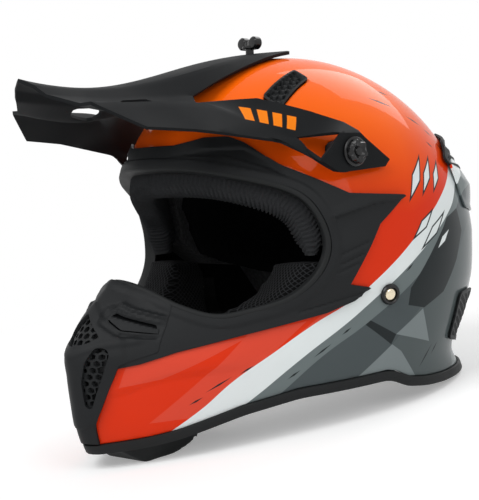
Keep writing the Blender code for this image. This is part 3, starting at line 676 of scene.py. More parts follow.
def knit(name, colour, pitch, depth):
    """Open mesh cloth: a diamond net of threads over dark foam."""
    look = Look(name, colour, 0.95, Specular_IOR_Level=0.1)
    x, y, z = look.axes()
    turn = look.math("ARCTAN2", look.size(x), look.times(y, -1.0))
    reach = look.math("SQRT", look.plus(look.math("POWER", x, 2.0), look.math("POWER", y, 2.0)))
    lean = look.plus(look.times(turn, NET_REACH), reach)
    lines = []
    for across in (look.plus(lean, z), look.minus(lean, z)):
        wave = look.math("SINE", look.times(across, math.pi / (pitch * MM)))
        lines.append(look.between(look.size(wave), *THREAD))
    thread = look.math("MAXIMUM", *lines)
    look.colour(look.mix(thread, tint(colour, 0.12), colour))
    coarse = look.bump(thread, depth)
    look.bump(look.noise(FIBRE, 2), 0.12, coarse)
    return look.material


def cloth(name, colour):
    """Brushed lining cloth with a fine nap."""
    look = Look(name, colour, 0.98, Specular_IOR_Level=0.08)
    nap = look.noise(NAP, 4)
    look.colour(look.mix(nap, tint(colour, 0.6), tint(colour, 1.3)))
    look.bump(nap, 0.25)
    return look.material


def webbing(name, colour):
    """Woven strap: cross ribs with a twill step, and painted shade in the weave's low parts."""
    look = Look(name, colour, 0.8, Specular_IOR_Level=0.2)
    _, y, z = look.axes()
    rib = look.math("SINE", look.times(look.plus(z, look.times(y, 0.5)), RIB_WAVES))
    twill = look.math("SINE", look.times(y, TWILL_WAVES))
    height = look.plus(rib, look.times(twill, 0.6))
    # Painted shade: the low parts of the weave get half the colour.
    look.colour(look.mix(look.between(height, -1.2, 1.2), tint(colour, 0.5), colour))
    look.bump(height, 0.12)
    return look.material


def beads(name, colour):
    """Moulded bead foam, with painted light on each bead's top and painted shade in the crevices between
    beads.
    """
    look = Look(name, colour, 0.85)
    cell = look.cells(BEAD)
    shade = look.between(cell, 0.2, 0.7)
    # Painted light and shade: bead tops lighter, the crevices between beads darker.
    look.colour(look.mix(shade, tint(colour, 1.2), tint(colour, 0.6)))
    look.bump(look.times(cell, -1.0), 0.5)
    return look.material


def metal(name, colour, roughness):
    """Satin metal with fine grain and handling marks."""
    look = Look(name, colour, roughness, Metallic=1.0)
    marks = look.noise(MARKS, 4)
    look.rough(look.between(marks, 0.3, 0.7, roughness - 0.08, roughness + 0.12))
    look.colour(look.mix(marks, tint(colour, 0.8), colour))
    look.bump(look.noise(FINE, 2), 0.02)
    return look.material


# Paint colours and the side-view lines between them, in millimetres.
ORANGE = (0.98, 0.135, 0.002)
RED = (0.72, 0.032, 0.003)
PALE_RED = (0.72, 0.07, 0.036)
WHITE = (0.78, 0.83, 0.83)
PALE_GREY = (0.2, 0.232, 0.236)
REAR_GREY = (0.085, 0.103, 0.105)
MID_GREY = (0.15, 0.18, 0.182)
DARK_GREY = (0.07, 0.086, 0.09)
INK = (0.015, 0.02, 0.0215)
ORANGE_MARK = (0.92, 0.23, 0.01)
ORANGE_EDGE = ((-190, -165), (-125, -107), (-108, -88), (-82, -67), (-59, -50), (-34, -34), (-16, -18),
               (7, 4), (25, 23), (36, 33), (63, 58), (71, 68), (86, 78), (112, 84), (190, 88))
WHITE_EDGE = ((-190, -185), (-95, -100), (-67, -74), (-32, -46), (-16, -31.5), (22, 2.5), (47, 25),
              (56, 33), (72, 51), (90, 61), (190, 66))
GREY_EDGE = ((-190, -200), (-78, -97), (-52, -72), (-23, -51), (12, -22), (42, 9), (62, 30), (82, 45),
             (190, 50))
LOWER_EDGE = ((-190, -226), (-24, -86), (2, -64), (23, -40), (60, -5), (76, 16), (96, 30), (190, 36))
# Loose strokes: middle in the side view, angle in degrees, length and width.
SHARDS = ((17, 50, 60, 30, 6.5), (29, 52, 60, 25, 5.6), (40, 52, 60, 20, 5), (20, 18, 47, 22, 5),
          (31, 14, 47, 28, 5.4), (42, 8, 47, 18, 4.4))
STROKES = ((40, 92, -24, 16, 1.6), (54, 84, -30, 11, 1.5), (46, 75, -34, 8, 1.5), (64, 74, -38, 13, 1.5),
           (12, 104, -16, 24, 1.5), (24, 112, -14, 13, 1.4), (70, 62, -48, 8, 1.4), (-52, -68, 38, 15, 1.3),
           (-70, -84, 38, 10, 1.3), (-36, -55, 38, 8, 1.4), (-116, -90, 36, 18, 1.3),
           (-100, -80, 36, 10, 1.3), (-128, -101, 36, 9, 1.3), (36, -74, 52, 22, 1.3),
           (46, -69, 52, 12, 1.3), (8, -12, 44, 9, 1.4))
# Convex patches of the side view, anticlockwise.
RED_PATCHES = (((-170, -92), (-148, -86), (-100, -58), (-166, -72)),
               ((-152, -116), (-128, -112), (-64, -48), (-100, -56)),
               ((-120, -100), (-100, -94), (-40, -36), (-52, -42)))
GREY_PATCHES = (
    (((11, -38), (27, -40), (47, -29), (61, -6), (68, 14), (62, 30), (46, 23), (11, -26)), INK),
    (((-30, -92), (36, -98), (10, -70), (1, -65)), PALE_GREY),
    (((3.5, -58), (38, -64), (26, -40.5)), PALE_GREY),
    (((-22.5, -51), (0.2, -65), (3.5, -58), (-19, -48)), INK),
    (((72, -98), (120, -98), (150, -40), (96, -30)), MID_GREY),
    (((92, -20), (150, -26), (150, 20), (104, 12)), DARK_GREY),
)
# Bars of the rear view, as chevrons with their mirror image, and the depth where they start.
REAR_BARS = (
    (((-1, -2), (40, 14), (52, 30), (-1, 9)), INK),
    (((-1, -18), (46, 0), (50, 7), (-1, -12)), PALE_GREY),
    (((-1, -34), (38, -19), (46, -8), (-1, -26)), INK),
    (((-1, 92), (18, 99), (22, 104), (-1, 96)), INK),
    (((-1, 102), (14, 107.5), (17, 111), (-1, 105)), INK),
)
REAR_START = 96
# Heights over which red turns to orange, depths over which it turns back, and how far: a fade that is
# partly the paint's own two tones and partly painted shade, darker towards the bottom and the rear.
WARM_HEIGHTS = (25, 105)
WARM_DEPTHS = (10, 90)
WARM_BACK = -0.6
WARM_FULL = 0.85
PAINT_REACH = 240.0
PAINT_EDGE = (-0.15, 0.15)
SHARD_RIM = (1.25, 0.95)
SHARD_EDGE = (0.15, -0.15)
STROKE_EDGE = (0.1, -0.15)
ORANGE_PEEL = 160
# Plain slanted dashes on the visor's arms: corners of one in the side view, and the step to the next.
DASH = ((-109, 86.5), (-103.5, 85.3), (-100, 94.5), (-105.5, 95.7))
DASH_STEP = (8.5, -1.9)
DASHES = 4


class Paint(Look):
    """Colour blocks with a clear coat."""

    def __init__(self, name):
        super().__init__(name, ORANGE, 0.42, Coat_Weight=0.6, Coat_Roughness=0.03, Coat_IOR=1.26,
                         Specular_IOR_Level=0.03)
        x, y, z = self.axes()
        self.x = self.times(self.size(x), 1 / MM)
        self.y = self.times(y, 1 / MM)
        self.z = self.times(z, 1 / MM)

    def below(self, line):
        """1 under a smooth line of the side view."""
        node = self.node("ShaderNodeFloatCurve")
        points = node.mapping.curves[0].points
        for k, place in enumerate(line):
            place = [(number + PAINT_REACH) / (2 * PAINT_REACH) for number in place]
            if k < 2:
                points[k].location = place
            else:
                points.new(*place)
        node.mapping.update()
        self.feed(node.inputs["Value"], self.between(self.y, -PAINT_REACH, PAINT_REACH))
        edge = self.between(node.outputs[0], 0, 1, -PAINT_REACH, PAINT_REACH)
        return self.between(self.minus(edge, self.z), *PAINT_EDGE)

    def left_of(self, first, last, across):
        """1 to the left of a straight line of the side view, or of the rear view."""
        da = last[0] - first[0]
        db = last[1] - first[1]
        length = math.hypot(da, db)
        lift = self.times(self.minus(self.z, first[1]), da / length)
        slide = self.times(self.minus(across, first[0]), db / length)
        return self.between(self.minus(lift, slide), *PAINT_EDGE)

    def patch(self, corners, across=None):
        """1 inside a convex patch, given anticlockwise."""
        mask = None
        for k in range(len(corners)):
            part = self.left_of(corners[k - 1], corners[k], across or self.y)
            mask = part if mask is None else self.times(mask, part)
        return mask

    def shard(self, y, z, angle, length, width):
        """Distance-like field of a slender lozenge, under 0 inside."""
        cos = math.cos(math.radians(angle))
        sin = math.sin(math.radians(angle))
        dy = self.minus(self.y, y)
        dz = self.minus(self.z, z)
        along = self.plus(self.times(dy, cos), self.times(dz, sin))
        aside = self.minus(self.times(dz, cos), self.times(dy, sin))
        lean = self.times(self.size(along), width / length)
        return self.minus(self.plus(self.size(aside), lean), width / 2)


def helmet_paint():
    look = Paint("helmet_paint")
    # Orange on top, red at the bottom and the rear: partly the paint's own fade, partly painted shade.
    back = look.between(look.y, *WARM_DEPTHS, 0.0, WARM_BACK)
    warm = look.plus(look.between(look.z, *WARM_HEIGHTS), back)
    tone = look.mix(look.between(warm, 0, WARM_FULL), RED, ORANGE)
    for corners in RED_PATCHES:
        tone = look.mix(look.times(look.patch(corners), 0.9), tone, PALE_RED)
    tone = look.mix(look.below(ORANGE_EDGE), tone, WHITE)
    grey = look.mix(look.below(GREY_EDGE), MID_GREY, DARK_GREY)
    grey = look.mix(look.below(LOWER_EDGE), grey, REAR_GREY)
    for corners, colour in GREY_PATCHES:
        grey = look.mix(look.patch(corners), grey, colour)
    tone = look.mix(look.below(WHITE_EDGE), tone, grey)
    behind = look.between(look.y, REAR_START, REAR_START + 0.4)
    for corners, colour in REAR_BARS:
        mask = look.times(look.patch(corners, look.x), behind)
        tone = look.mix(mask, tone, colour)
    for shape in SHARDS:
        field = look.shard(*shape)
        tone = look.mix(look.between(field, *SHARD_RIM), tone, INK)
        tone = look.mix(look.between(field, *SHARD_EDGE), tone, WHITE)
    for shape in STROKES:
        tone = look.mix(look.between(look.shard(*shape), *STROKE_EDGE), tone, INK)
    look.colour(tone)
    look.bump(look.noise(ORANGE_PEEL, 1), 0.012)
    return look.material


def visor_plastic(colour, roughness):
    """Matte plastic with the dashes."""
    look = Paint("visor_plastic")
    for key, value in (("Coat Weight", 0.0), ("Specular IOR Level", 0.07)):
        look.shader.inputs[key].default_value = value
    tone = moulded(look, colour, roughness, 0.05)
    for k in range(DASHES):
        corners = [(y + k * DASH_STEP[0], z + k * DASH_STEP[1]) for y, z in DASH]
        tone = look.mix(look.patch(corners), tone, ORANGE_MARK)
    look.colour(tone)
    return look.material


def build_camera():
    right = Vector((math.cos(VIEW_TURN), math.sin(VIEW_TURN), 0))
    back = Vector((math.sin(VIEW_TURN), -math.cos(VIEW_TURN), 0))
    up = Vector((0, 0, 1))
    eye = right * VIEW_SHIFT + back * VIEW_DISTANCE
    data = bpy.data.cameras.new("camera")
    data.lens = FOCAL_PIXELS / PHOTO_HEIGHT * SENSOR
    data.sensor_width = SENSOR
    camera = bpy.data.objects.new("camera", data)
    bpy.context.scene.collection.objects.link(camera)
    turn = Matrix((right, up, back)).transposed().to_4x4()
    camera.matrix_world = HELMET @ Matrix.Translation(eye) @ turn
    bpy.context.scene.camera = camera


def white_for_camera(nodes, lit, white, output):
    """Show a white surface to the camera, to mirrors and to glass, and keep the lit one for the rest."""
    rays = nodes.node("ShaderNodeLightPath").outputs
    seen = nodes.math("MAXIMUM", rays["Is Camera Ray"], rays["Is Glossy Ray"])
    seen = nodes.math("MAXIMUM", seen, rays["Is Transmission Ray"])
    nodes.feed(output, nodes.node("ShaderNodeMixShader", seen, lit, white).outputs[0])


# Lamps: place, size and power, in metres and watts.
LAMPS = (
    ("key", (0.3, -1.5, 2.0), 1.6, 30),
    ("left", (1.9, -0.2, 1.2), 1.1, 9),
    ("rear", (-0.5, 1.9, 1.6), 1.3, 16),
)
LAMP_AIM = (0, 0, 0.12)
ROOM_LIGHT = 0.42
FLOOR_SIZE = 12
FLOOR_WHITE = (0.86, 0.86, 0.86)
FLOOR_GLOW = 0.3
FLOOR_FADE = (0.3, 0.62)


def build_stage():
    scene = bpy.context.scene
    scene.view_settings.view_transform = "Standard"
    world = bpy.data.worlds.new("studio")
    scene.world = world
    world.use_nodes = True
    sky = Nodes(world.node_tree)
    room = sky.tree.nodes["Background"]
    room.inputs["Color"].default_value = (1, 1, 1, 1)
    room.inputs["Strength"].default_value = ROOM_LIGHT
    white = sky.node("ShaderNodeBackground", (1, 1, 1, 1))
    output = sky.tree.nodes["World Output"].inputs["Surface"]
    white_for_camera(sky, room.outputs[0], white.outputs[0], output)
    bpy.ops.mesh.primitive_plane_add(size=FLOOR_SIZE)
    floor = bpy.context.object
    floor.name = "floor"
    look = Look("floor_white", FLOOR_WHITE, 0.9, Specular_IOR_Level=0.1)
    lit = look.shader.outputs[0]
    glow = look.node("ShaderNodeEmission", None, FLOOR_GLOW)
    lifted = look.node("ShaderNodeAddShader", lit, glow.outputs[0])
    paper = look.node("ShaderNodeEmission")
    spot = look.node("ShaderNodeTexCoord").outputs["Object"]
    reach = look.node("ShaderNodeVectorMath", spot, operation="LENGTH").outputs["Value"]
    share = look.between(reach, *FLOOR_FADE)
    fade = look.node("ShaderNodeMixShader", share, lifted.outputs[0], paper.outputs[0])
    white_for_camera(look, lit, fade.outputs[0], look.tree.nodes["Material Output"].inputs["Surface"])
    floor.data.materials.append(look.material)
    for name, spot, size, power in LAMPS:
        data = bpy.data.lights.new(name, "AREA")
        data.size = size
        data.energy = power
        lamp = bpy.data.objects.new(name, data)
        scene.collection.objects.link(lamp)
        lamp.location = spot
        lamp.rotation_euler = (Vector(LAMP_AIM) - Vector(spot)).to_track_quat("-Z", "Y").to_euler()


def face_values(mesh, key):
    values = np.zeros(len(mesh.polygons) * 3)
    mesh.polygons.foreach_get(key, values)
    return values.reshape(-1, 3)


def mirrored(outline, sign=-1):
    """An outline for the left side, or its mirror image for the right."""
    return [(sign * a, b) for a, b in outline]


def both(outline):
    return outline, mirrored(outline)


def circle(middle, radius, count=40):
    turn = np.linspace(0, 2 * math.pi, count, endpoint=False)
    return np.stack((middle[0] + radius * np.cos(turn), middle[1] + radius * np.sin(turn)), axis=1)


def within(x, y, z):
    """Test for places between limits of x, y and z."""
    low, high = np.array((x, y, z), float).T
    return lambda points: ((points > low) & (points < high)).all(1)


def above_base(raise_by):
    return lambda points: points[:, 2] - np.interp(points[:, 1], *BASE.T) - raise_by


def open_ahead(line):
    """Closed outline from a side-view line whose ends run on ahead of the helmet."""
    return np.concatenate((((-FAR, line[0][1]),), line, ((-FAR, line[-1][1]),)))


def trim_all(points, faces, fields):
    for field in fields:
        points, faces = trim(points, faces, field)
    return points, faces


def trimmed_dome(offset, cells, where, fields, low=LOWEST):
    """Part of the surface cut along the zero lines of some fields."""
    return trim_all(*dome(offset, cells, low, where), fields)


def grid(first, second, place):
    """Faces over two rows of numbers, each corner put in place by a function."""
    a, b = np.meshgrid(first, second, indexing="ij")
    index = np.arange(a.size).reshape(a.shape)
    corners = (index[:-1, :-1], index[1:, :-1], index[1:, 1:], index[:-1, 1:])
    faces = np.stack([corner.ravel() for corner in corners], axis=1).tolist()
    return place(a.ravel(), b.ravel()), [tuple(face) for face in faces]


def front_grid(across, up, step, offset):
    """Grid over a rectangle of the front view, laid on the surface."""
    rows = [np.linspace(low, high, int((high - low) / step) + 1) for low, high in (across, up)]
    return grid(*rows, lambda a, b: front_place(a, b, offset))


def step_up(value, low, high):
    """Smooth rise from 0 to 1 between two numbers."""
    share = np.clip((value - low) / (high - low), 0, 1)
    return share * share * (3 - 2 * share)


def hump(value, rise, fall):
    """Smooth rise from 0 to 1 and fall back to 0, each between two numbers."""
    return step_up(value, *rise) * (1 - step_up(value, *fall))


def line_distance(points, axes, line):
    """Distance of points to an open line of a view."""
    flat = points[:, axes]
    best = np.full(len(flat), float(FAR))
    for first, last in zip(line, line[1:]):
        first = np.array(first, float)
        span = np.array(last, float) - first
        share = np.clip(((flat - first) @ span) / (span @ span), 0, 1)
        best = np.minimum(best, np.linalg.norm(flat - first - share[:, None] * span, axis=1))
    return best


def along_lines(amount, points, axes, rows):
    """Heights with ridges added: rows of line, distances where the flank starts and ends, and height."""
    for line, flank, foot, height in rows:
        amount = amount + height * (1 - step_up(line_distance(points, axes, line), flank, foot))
    return amount


def in_outlines(amount, points, axes, rows):
    """Heights with steps added: rows of outline, distances inside it of the flank, and height."""
    for outline, low, high, height in rows:
        amount = amount + height * step_up(inside_of(outline, axes)(points), low, high)
    return amount


def hex_field(a, b, pitch):
    """Distance from the middle of the nearest cell of a honeycomb, as a share of the cell."""
    rise = pitch * math.sqrt(3) / 2
    best = np.full(np.shape(a), float(FAR))
    row = np.floor(b / rise)
    for j in (0, 1):
        shift = np.where((row + j) % 2 == 0, 0.0, pitch / 2)
        column = np.round((a - shift) / pitch)
        for k in (-1, 0, 1):
            da = np.abs(a - shift - (column + k) * pitch)
            db = np.abs(b - (row + j) * rise)
            best = np.minimum(best, np.maximum(da, da / 2 + db * math.sqrt(3) / 2))
    return best / (pitch / 2)


def piece(name, skin, look, smooth, nodes, body="helmet"):
    """Closed skin as a finished piece."""
    return dress(settle(place_object(name, *skin, look), smooth), nodes, body)


# Side-view line of the eye port, and the outlines that the CAD model also has.
PORT = curve(((-150, 57), (-125, 56), (-102, 50), (-72, 39), (-57.5, 20), (-53, 0), (-59, -18),
              (-75, -33.5), (-98, -42), (-118, -46), (-137, -38.5), (-152, -25), (-168, -15)), 8)
BASE = np.array(((-400, -139), (-174, -138), (-150, -132), (-135, -127), (-100, -111), (-66, -100.5),
                 (-30, -95), (0, -90), (8, -91), (20, -95), (40, -95.5), (60, -94), (116, -86.7),
                 (146, -80.2), (230, -56.5), (400, -20)))
SURROUND = ((-150, 70), (-124, 71.5), (-112, 76.5), (-102, 77), (-96, 73), (-85, 60.5), (-78, 56),
            (-56, 45.5), (-41, 38.5), (3, 38), (-19, 18), (-38.5, -23.5), (-23, -25.5), (-34, -34.5),
            (-52, -42.5), (-108, -58), (-142, -68), (-161, -76), (-175, -80))
MOUTH = ((0, 12), (40, 12), (46, -50), (46, -68), (29, -77), (12, -119), (11, -131), (10, -150))
MOUTH_HOLE = ((0, -38), (26, -61), (11, -110), (-11, -110), (-26, -61))
CROWN_VENT = ((57, -72), (71, -68), (62, -35), (49, -37))
REAR_COVER = ((42, 61), (60, 58), (104, 61), (103, 66), (89, 79), (52, 87))
REAR_VENT = ((44, 60), (70, 56), (66, 80), (50, 86))
PORT_BODY = open_ahead(PORT)
SURROUND_BODY = open_ahead(SURROUND)
MOUTH_BODY = mirror_line(MOUTH)
TOP_SCREW_Y = -38
# Parts of space, where a view's outline meets the surface twice.
ALL = (-FAR, FAR)
AT_FRONT = within(ALL, (-FAR, -80), ALL)
AT_TOP = within(ALL, ALL, (70, FAR))
AT_REAR = within(ALL, (40, FAR), ALL)

# Shell: holes, the swelling over the chin's ledge, and the margins under the black panels.
SHELL_CELLS = 84
BOSS_HOLE = 8.3
RIVET_HOLE = 2.6
CHIN_LEDGE = np.array(((-400, -110), (-168, -97), (-147, -87), (-124, -83), (-90, -78), (400, 0)))
CHIN_BULGE = 1.3
SURROUND_MARGIN = 3.5
MOUTH_MARGIN = 4.0


def build_shell(look, inner_look):
    holes = [(PORT_BODY, SIDE), (MOUTH_HOLE, FRONT, AT_FRONT)]
    holes += [(rounded(outline, 2), TOP, AT_TOP) for outline in both(CROWN_VENT)]
    holes += [(rounded(outline, 3), FRONT, AT_REAR) for outline in both(REAR_VENT)]
    holes += [(circle(PIVOT[1:], BOSS_HOLE), SIDE), (circle((0, TOP_SCREW_Y), BOSS_HOLE), TOP, AT_TOP),
              (circle((RIVET_Y, RIVET_Z), RIVET_HOLE), SIDE)]
    fields = [outside_of(*hole) for hole in holes]
    fields.insert(1, above_base(TRIM_HEIGHT + GAP))
    points, faces = trimmed_dome(0, SHELL_CELLS, None, fields)
    ledge = points[:, 2] - np.interp(points[:, 1], *CHIN_LEDGE.T)
    bulge = hump(ledge, (0, 4), (5, 30)) * (1 - step_up(points[:, 1], -122, -92))
    points = raised(points, faces, CHIN_BULGE * bulge)
    item = thicken(place_object("shell", points, faces, look), SHELL, 0.6)
    item.data.materials.append(inner_look)
    item.modifiers["thick"].material_offset = 1
    mesh = settle(item).data
    middles = face_values(mesh, "center") / MM
    hidden = inside_of(SURROUND_BODY, SIDE)(middles) > SURROUND_MARGIN
    hidden |= (inside_of(MOUTH_BODY, FRONT)(middles) > MOUTH_MARGIN) & AT_FRONT(middles)
    index = np.zeros(len(mesh.polygons), np.int32)
    mesh.polygons.foreach_get("material_index", index)
    index[hidden] = 1
    mesh.polygons.foreach_set("material_index", index)
    dress(item, ("outer_shell",))


# Relief of the eye-port surround: the port's lip, grooves, the brow's hollow and the wing's crease.
PORT_LIP = ((PORT, 5.0, 6.6, 1.1),)
GROOVE = (0.3, 1.3, -1.1)
GROOVES = ((((-46, -3.4), (-28, 5.4)), *GROOVE), (((-46, -10), (-31, -2.5)), *GROOVE),
           (((-47, -15.5), (-35, -9.5)), *GROOVE), (((-70, -42), (-26, -28.5)), *GROOVE))
BROW_HOLLOW = ((-128, 64), (-106, 62), (-88, 54), (-77, 48), (-83, 59), (-97, 70), (-116, 69))
WING_CREASE = np.array(((-52, 22), (-24, 32), (0, 36.5)))
WING_DIP = 1.7
PANEL_CELLS = 150


def build_surround(look):
    mouth = mirror_line([(x - TUCK if x else x, z + TUCK) for x, z in MOUTH])
    fields = (inside_of(SURROUND_BODY, SIDE), outside_of(PORT_BODY, SIDE),
              outside_of(mouth, FRONT, AT_FRONT))
    where = within(ALL, (-FAR, 14), (-FAR, 84))
    points, faces = trimmed_dome(GAP + PANEL, PANEL_CELLS, where, fields, -96)
    amount = along_lines(0, points, SIDE, PORT_LIP)
    below = np.interp(points[:, 1], *WING_CREASE.T) - points[:, 2]
    wing = step_up(points[:, 1], -55, -49)
    dip = WING_DIP * hump(below, (0, 1.6), (4, 30))
    amount += wing * (hump(below, (-9, 0), (0, 1.6)) - dip)
    amount = along_lines(amount, points, SIDE, GROOVES)
    amount = in_outlines(amount, points, SIDE, ((rounded(BROW_HOLLOW, 2), 0, 1.8, -1.6),))
    item = panel("surround", points, faces, amount, look, PANEL - 0.3, 0.35, 32)
    dress(item, ("eyeport_surround",))


# Strips along the rims of the shell: profiles of (across, out) places.
STRIP_CELLS = 90
STRIP_SPACING = 2.2
GASKET = ((0.3, -6), (2.6, -6), (3.0, -1), (2.9, 2.2), (2.5, 3.1), (1.6, 3.5), (0.2, 3.5), (-0.7, 3.3),
          (-1.0, 2.9), (0.3, 2.4))
BASE_TRIM = ((-3.6, 1.2), (-3.3, 1.9), (-2.0, 2.1), (2.2, 2.1), (3.2, 1.6), (3.6, 0.4), (3.6, -5),
             (2.6, -6.2), (-2.6, -6.2), (-3.6, -5.2), (-3.6, -4.2), (-1.5, -4.1), (-1.5, 0.1), (-3.6, 0.2))
FLOOR_CLEAR = 0.2


def rim_strip(fields, choose, rounds, target, profile):
    """Skin of a profile led along the rim with the least chosen number, across toward a target."""
    points, faces = trimmed_dome(0, STRIP_CELLS, None, fields)
    normals = sheet_normals(points, faces)
    rim = min(rims(faces), key=lambda ring: choose(points[ring].mean(0)))
    line = even(np.concatenate((points[rim], normals[rim]), axis=1), STRIP_SPACING, True, rounds)
    path = line[:, :3]
    out = line[:, 3:]
    along = np.roll(path, -1, axis=0) - np.roll(path, 1, axis=0)
    side = np.cross(out, along)
    sign = 1.0 if (side * target(path)).sum() > 0 else -1.0
    return sweep(path, out, np.array(profile) * (sign, 1), True)


def build_gasket(look):
    skin = rim_strip((outside_of(PORT_BODY, SIDE),), lambda middle: abs(middle[2]), 4,
                     lambda path: path.mean(0) - path, GASKET)
    piece("gasket", skin, look, 60, ("eyeport_gasket",))


def build_base_trim(look):
    skin = rim_strip((outside_of(PORT_BODY, SIDE), above_base(TRIM_HEIGHT / 2)), lambda middle: middle[2], 6,
                     lambda path: np.array((0, 0, -1.0)), BASE_TRIM)
    item = settle(place_object("base_trim_shape", *skin, look), 40)
    for vertex in item.data.vertices:
        spot = HELMET @ vertex.co
        spot.z = max(spot.z, FLOOR_CLEAR * MM)
        vertex.co = HELMET.inverted() @ spot
    dress(item, ("base_trim",))


# Mouth cover: openings, and the outlines and lines of its relief on the left half.
UPPER_VENT = ((0, -43), (17, -59.5), (9, -63.5), (0, -65.5), (-9, -63.5), (-17, -59.5))
LOWER_VENT = ((16.5, -65.5), (22, -66), (24.5, -70), (23.5, -75), (12, -107), (8.5, -105), (8.2, -88),
              (11.5, -76))
SCOOP = ((17, -42), (24, -45), (42, -50), (43, -56), (25, -54), (15, -47))
SCOOP_STEP = ((8, -39), (16, -36), (26, -41), (45, -46), (45, -60), (24, -58), (11, -50))
SCOOP_HOOD = ((12, -41), (18, -35), (26, -38.5), (45, -44), (45, -50), (24, -45), (16, -42))
MOUTH_FRAME = ((-1, -34), (30, -60), (33, -76), (13, -118), (-1, -122))
MOUTH_BRACE = ((-2, -73), (18, -64.2), (36, -60))
SCOOP_RELIEF = ((SCOOP_STEP, 0, 0.9, -1.5), (SCOOP, -2.2, -1.2, 0.9), (SCOOP_HOOD, -0.5, 1.6, 1.9))
COVER_GRID = 1.15
# The lip of the mouth cover comes to a low point on the centre line.
PEAK_RISE = 3.2
PEAK_WIDTH = 15
PEAK_SPAN = (-46, -24)


def build_mouth_cover(look):
    fields = [inside_of(MOUTH_BODY, FRONT), outside_of(PORT_BODY, SIDE), above_base(TRIM_HEIGHT + GAP),
              outside_of(rounded(UPPER_VENT, 2), FRONT)]
    for outline in (*both(LOWER_VENT), *both(SCOOP)):
        fields.append(outside_of(rounded(outline, 1.8), FRONT))
    points, faces = trim_all(*front_grid((-47, 47), (-146, 14), COVER_GRID, COVER - 0.5), fields)
    half = points.copy()
    half[:, 0] = np.abs(half[:, 0])
    amount = in_outlines(0, half, FRONT, ((MOUTH_FRAME, 0, 1.4, 1.0),))
    amount = along_lines(amount, half, FRONT, ((MOUTH_BRACE, 1.2, 3.4, 0.6),))
    amount = in_outlines(amount, half, FRONT, SCOOP_RELIEF)
    amount = along_lines(amount, half, SIDE, ((PORT, 4.5, 6, 0.9),))
    peak = np.clip(1 - half[:, 0] / PEAK_WIDTH, 0, 1)
    amount += PEAK_RISE * peak * step_up(half[:, 2], *PEAK_SPAN)
    item = panel("mouth_cover_shape", points, faces, amount, look, COVER - 1.0, 0.4, 32)
    dress(item, ("mouth_cover",))


GRILLE_LIFT = 1.2
GRILLE_PITCH = 5.2
GRILLE_WALL = 0.9
GRILLE_DEPTH = 2.6
GRILLE_MIDDLE = -70


def honeycomb(outline, low, high):
    """Skin of hexagon rings inside an outline of the front view, laid on the surface."""
    field = inside_of(outline, (0, 1))
    points = []
    faces = []
    corners = np.array([(math.sin(math.pi * k / 3), math.cos(math.pi * k / 3)) for k in range(6)])
    rise = GRILLE_PITCH * math.sqrt(3) / 2
    outer = GRILLE_PITCH / math.sqrt(3)
    inner = outer - GRILLE_WALL
    for row in range(int((high[1] - low[1]) / rise) + 1):
        for column in range(int((high[0] - low[0]) / GRILLE_PITCH) + 1):
            middle = np.array((low[0] + (column + 0.5 * (row % 2)) * GRILLE_PITCH, low[1] + row * rise))
            if field(middle[None])[0] < 0.2:
                continue
            start = len(points)
            for radius, level in ((outer, 0), (inner, 0), (inner, -GRILLE_DEPTH)):
                for a, b in middle + corners * radius:
                    points.append(front_place(a, b, level + GRILLE_LIFT))
            for k in range(6):
                n = (k + 1) % 6
                for ring in (start, start + 6):
                    faces.append((ring + k, ring + n, ring + 6 + n, ring + 6 + k))
    return np.array(points), faces


def build_grille(look):
    outline = [(x * 0.97, GRILLE_MIDDLE + (z - GRILLE_MIDDLE) * 0.98) for x, z in MOUTH_HOLE]
    skin = honeycomb(outline, (-30, -112), (30, -36))
    piece("mouth_grille_shape", skin, look, 30, ("mouth_grille",))


# Chin vents: reach of the scoop across, and its heights where the vane starts and above which a painted
# shadow darkens it.
SCOOP_REACH = (15, 43)
VANE_EDGE = (-43.5, -52)
SHADOW_EDGE = (-44.2, -52.7)


def build_chin_vents(look, shadow_look):
    for sign, side in SIDES:
        sheet = front_grid(sorted((sign * 13, sign * 45)), (-58, -40), 1.0, 1.6)
        points, faces = trim(*sheet, inside_of(mirrored(SCOOP, sign), FRONT))
        tilt = np.interp(np.abs(points[:, 0]), SCOOP_REACH, VANE_EDGE)
        amount = -1.1 + 2.4 * step_up(tilt - points[:, 2], 0.4, 1.2)
        item = panel("chin_vent_shape_" + side, points, faces, amount, look, 0.4, 0, 40)
        item.data.materials.append(shadow_look)
        # The upper part of the vane takes the dark material as painted shadow under the hood's overhang.
        middles = face_values(item.data, "center") / MM
        deep = middles[:, 2] > np.interp(np.abs(middles[:, 0]), SCOOP_REACH, SHADOW_EDGE)
        item.data.polygons.foreach_set("material_index", deep.astype(np.int32))
        dress(item, ("chin_vent_" + side,))


# Spoiler: outline, its tip's height at depths of the side view, and how far it slopes above and below.
SPOILER = ((61, 60), (74, 66), (110, 64), (170, 64), (170, 33), (112, 29), (76, 31))
SPOILER_TIP = ((61, 80, 110, 140), (59, 49, 45.5, 45.5))
SPOILER_SLOPES = (19.0, 13.0)
SPOILER_NOTCH = 30
SPOILER_LIFT = 0.8
SPOILER_CELLS = 130


def build_spoiler(look):
    fields = (inside_of(rounded(SPOILER, 3), SIDE),)
    points, faces = trimmed_dome(SPOILER_LIFT, SPOILER_CELLS, within(ALL, (54, FAR), (22, 74)), fields)
    x, y, z = points.T
    tip = np.interp(y, *SPOILER_TIP)
    shape = 1 - np.clip(np.abs(z - tip) / np.where(z > tip, *SPOILER_SLOPES), 0, 1)
    notch = step_up(np.abs(np.abs(x) - SPOILER_NOTCH), 0.6, 1.6)
    amount = 1.0 + (2.2 + 2.2 * step_up(y, 60, 112)) * shape - 1.2 * (1 - notch)
    item = panel("rear_spoiler_shape", points, faces, amount, look, 1.6, 0.5, 32)
    dress(item, ("rear_spoiler",))


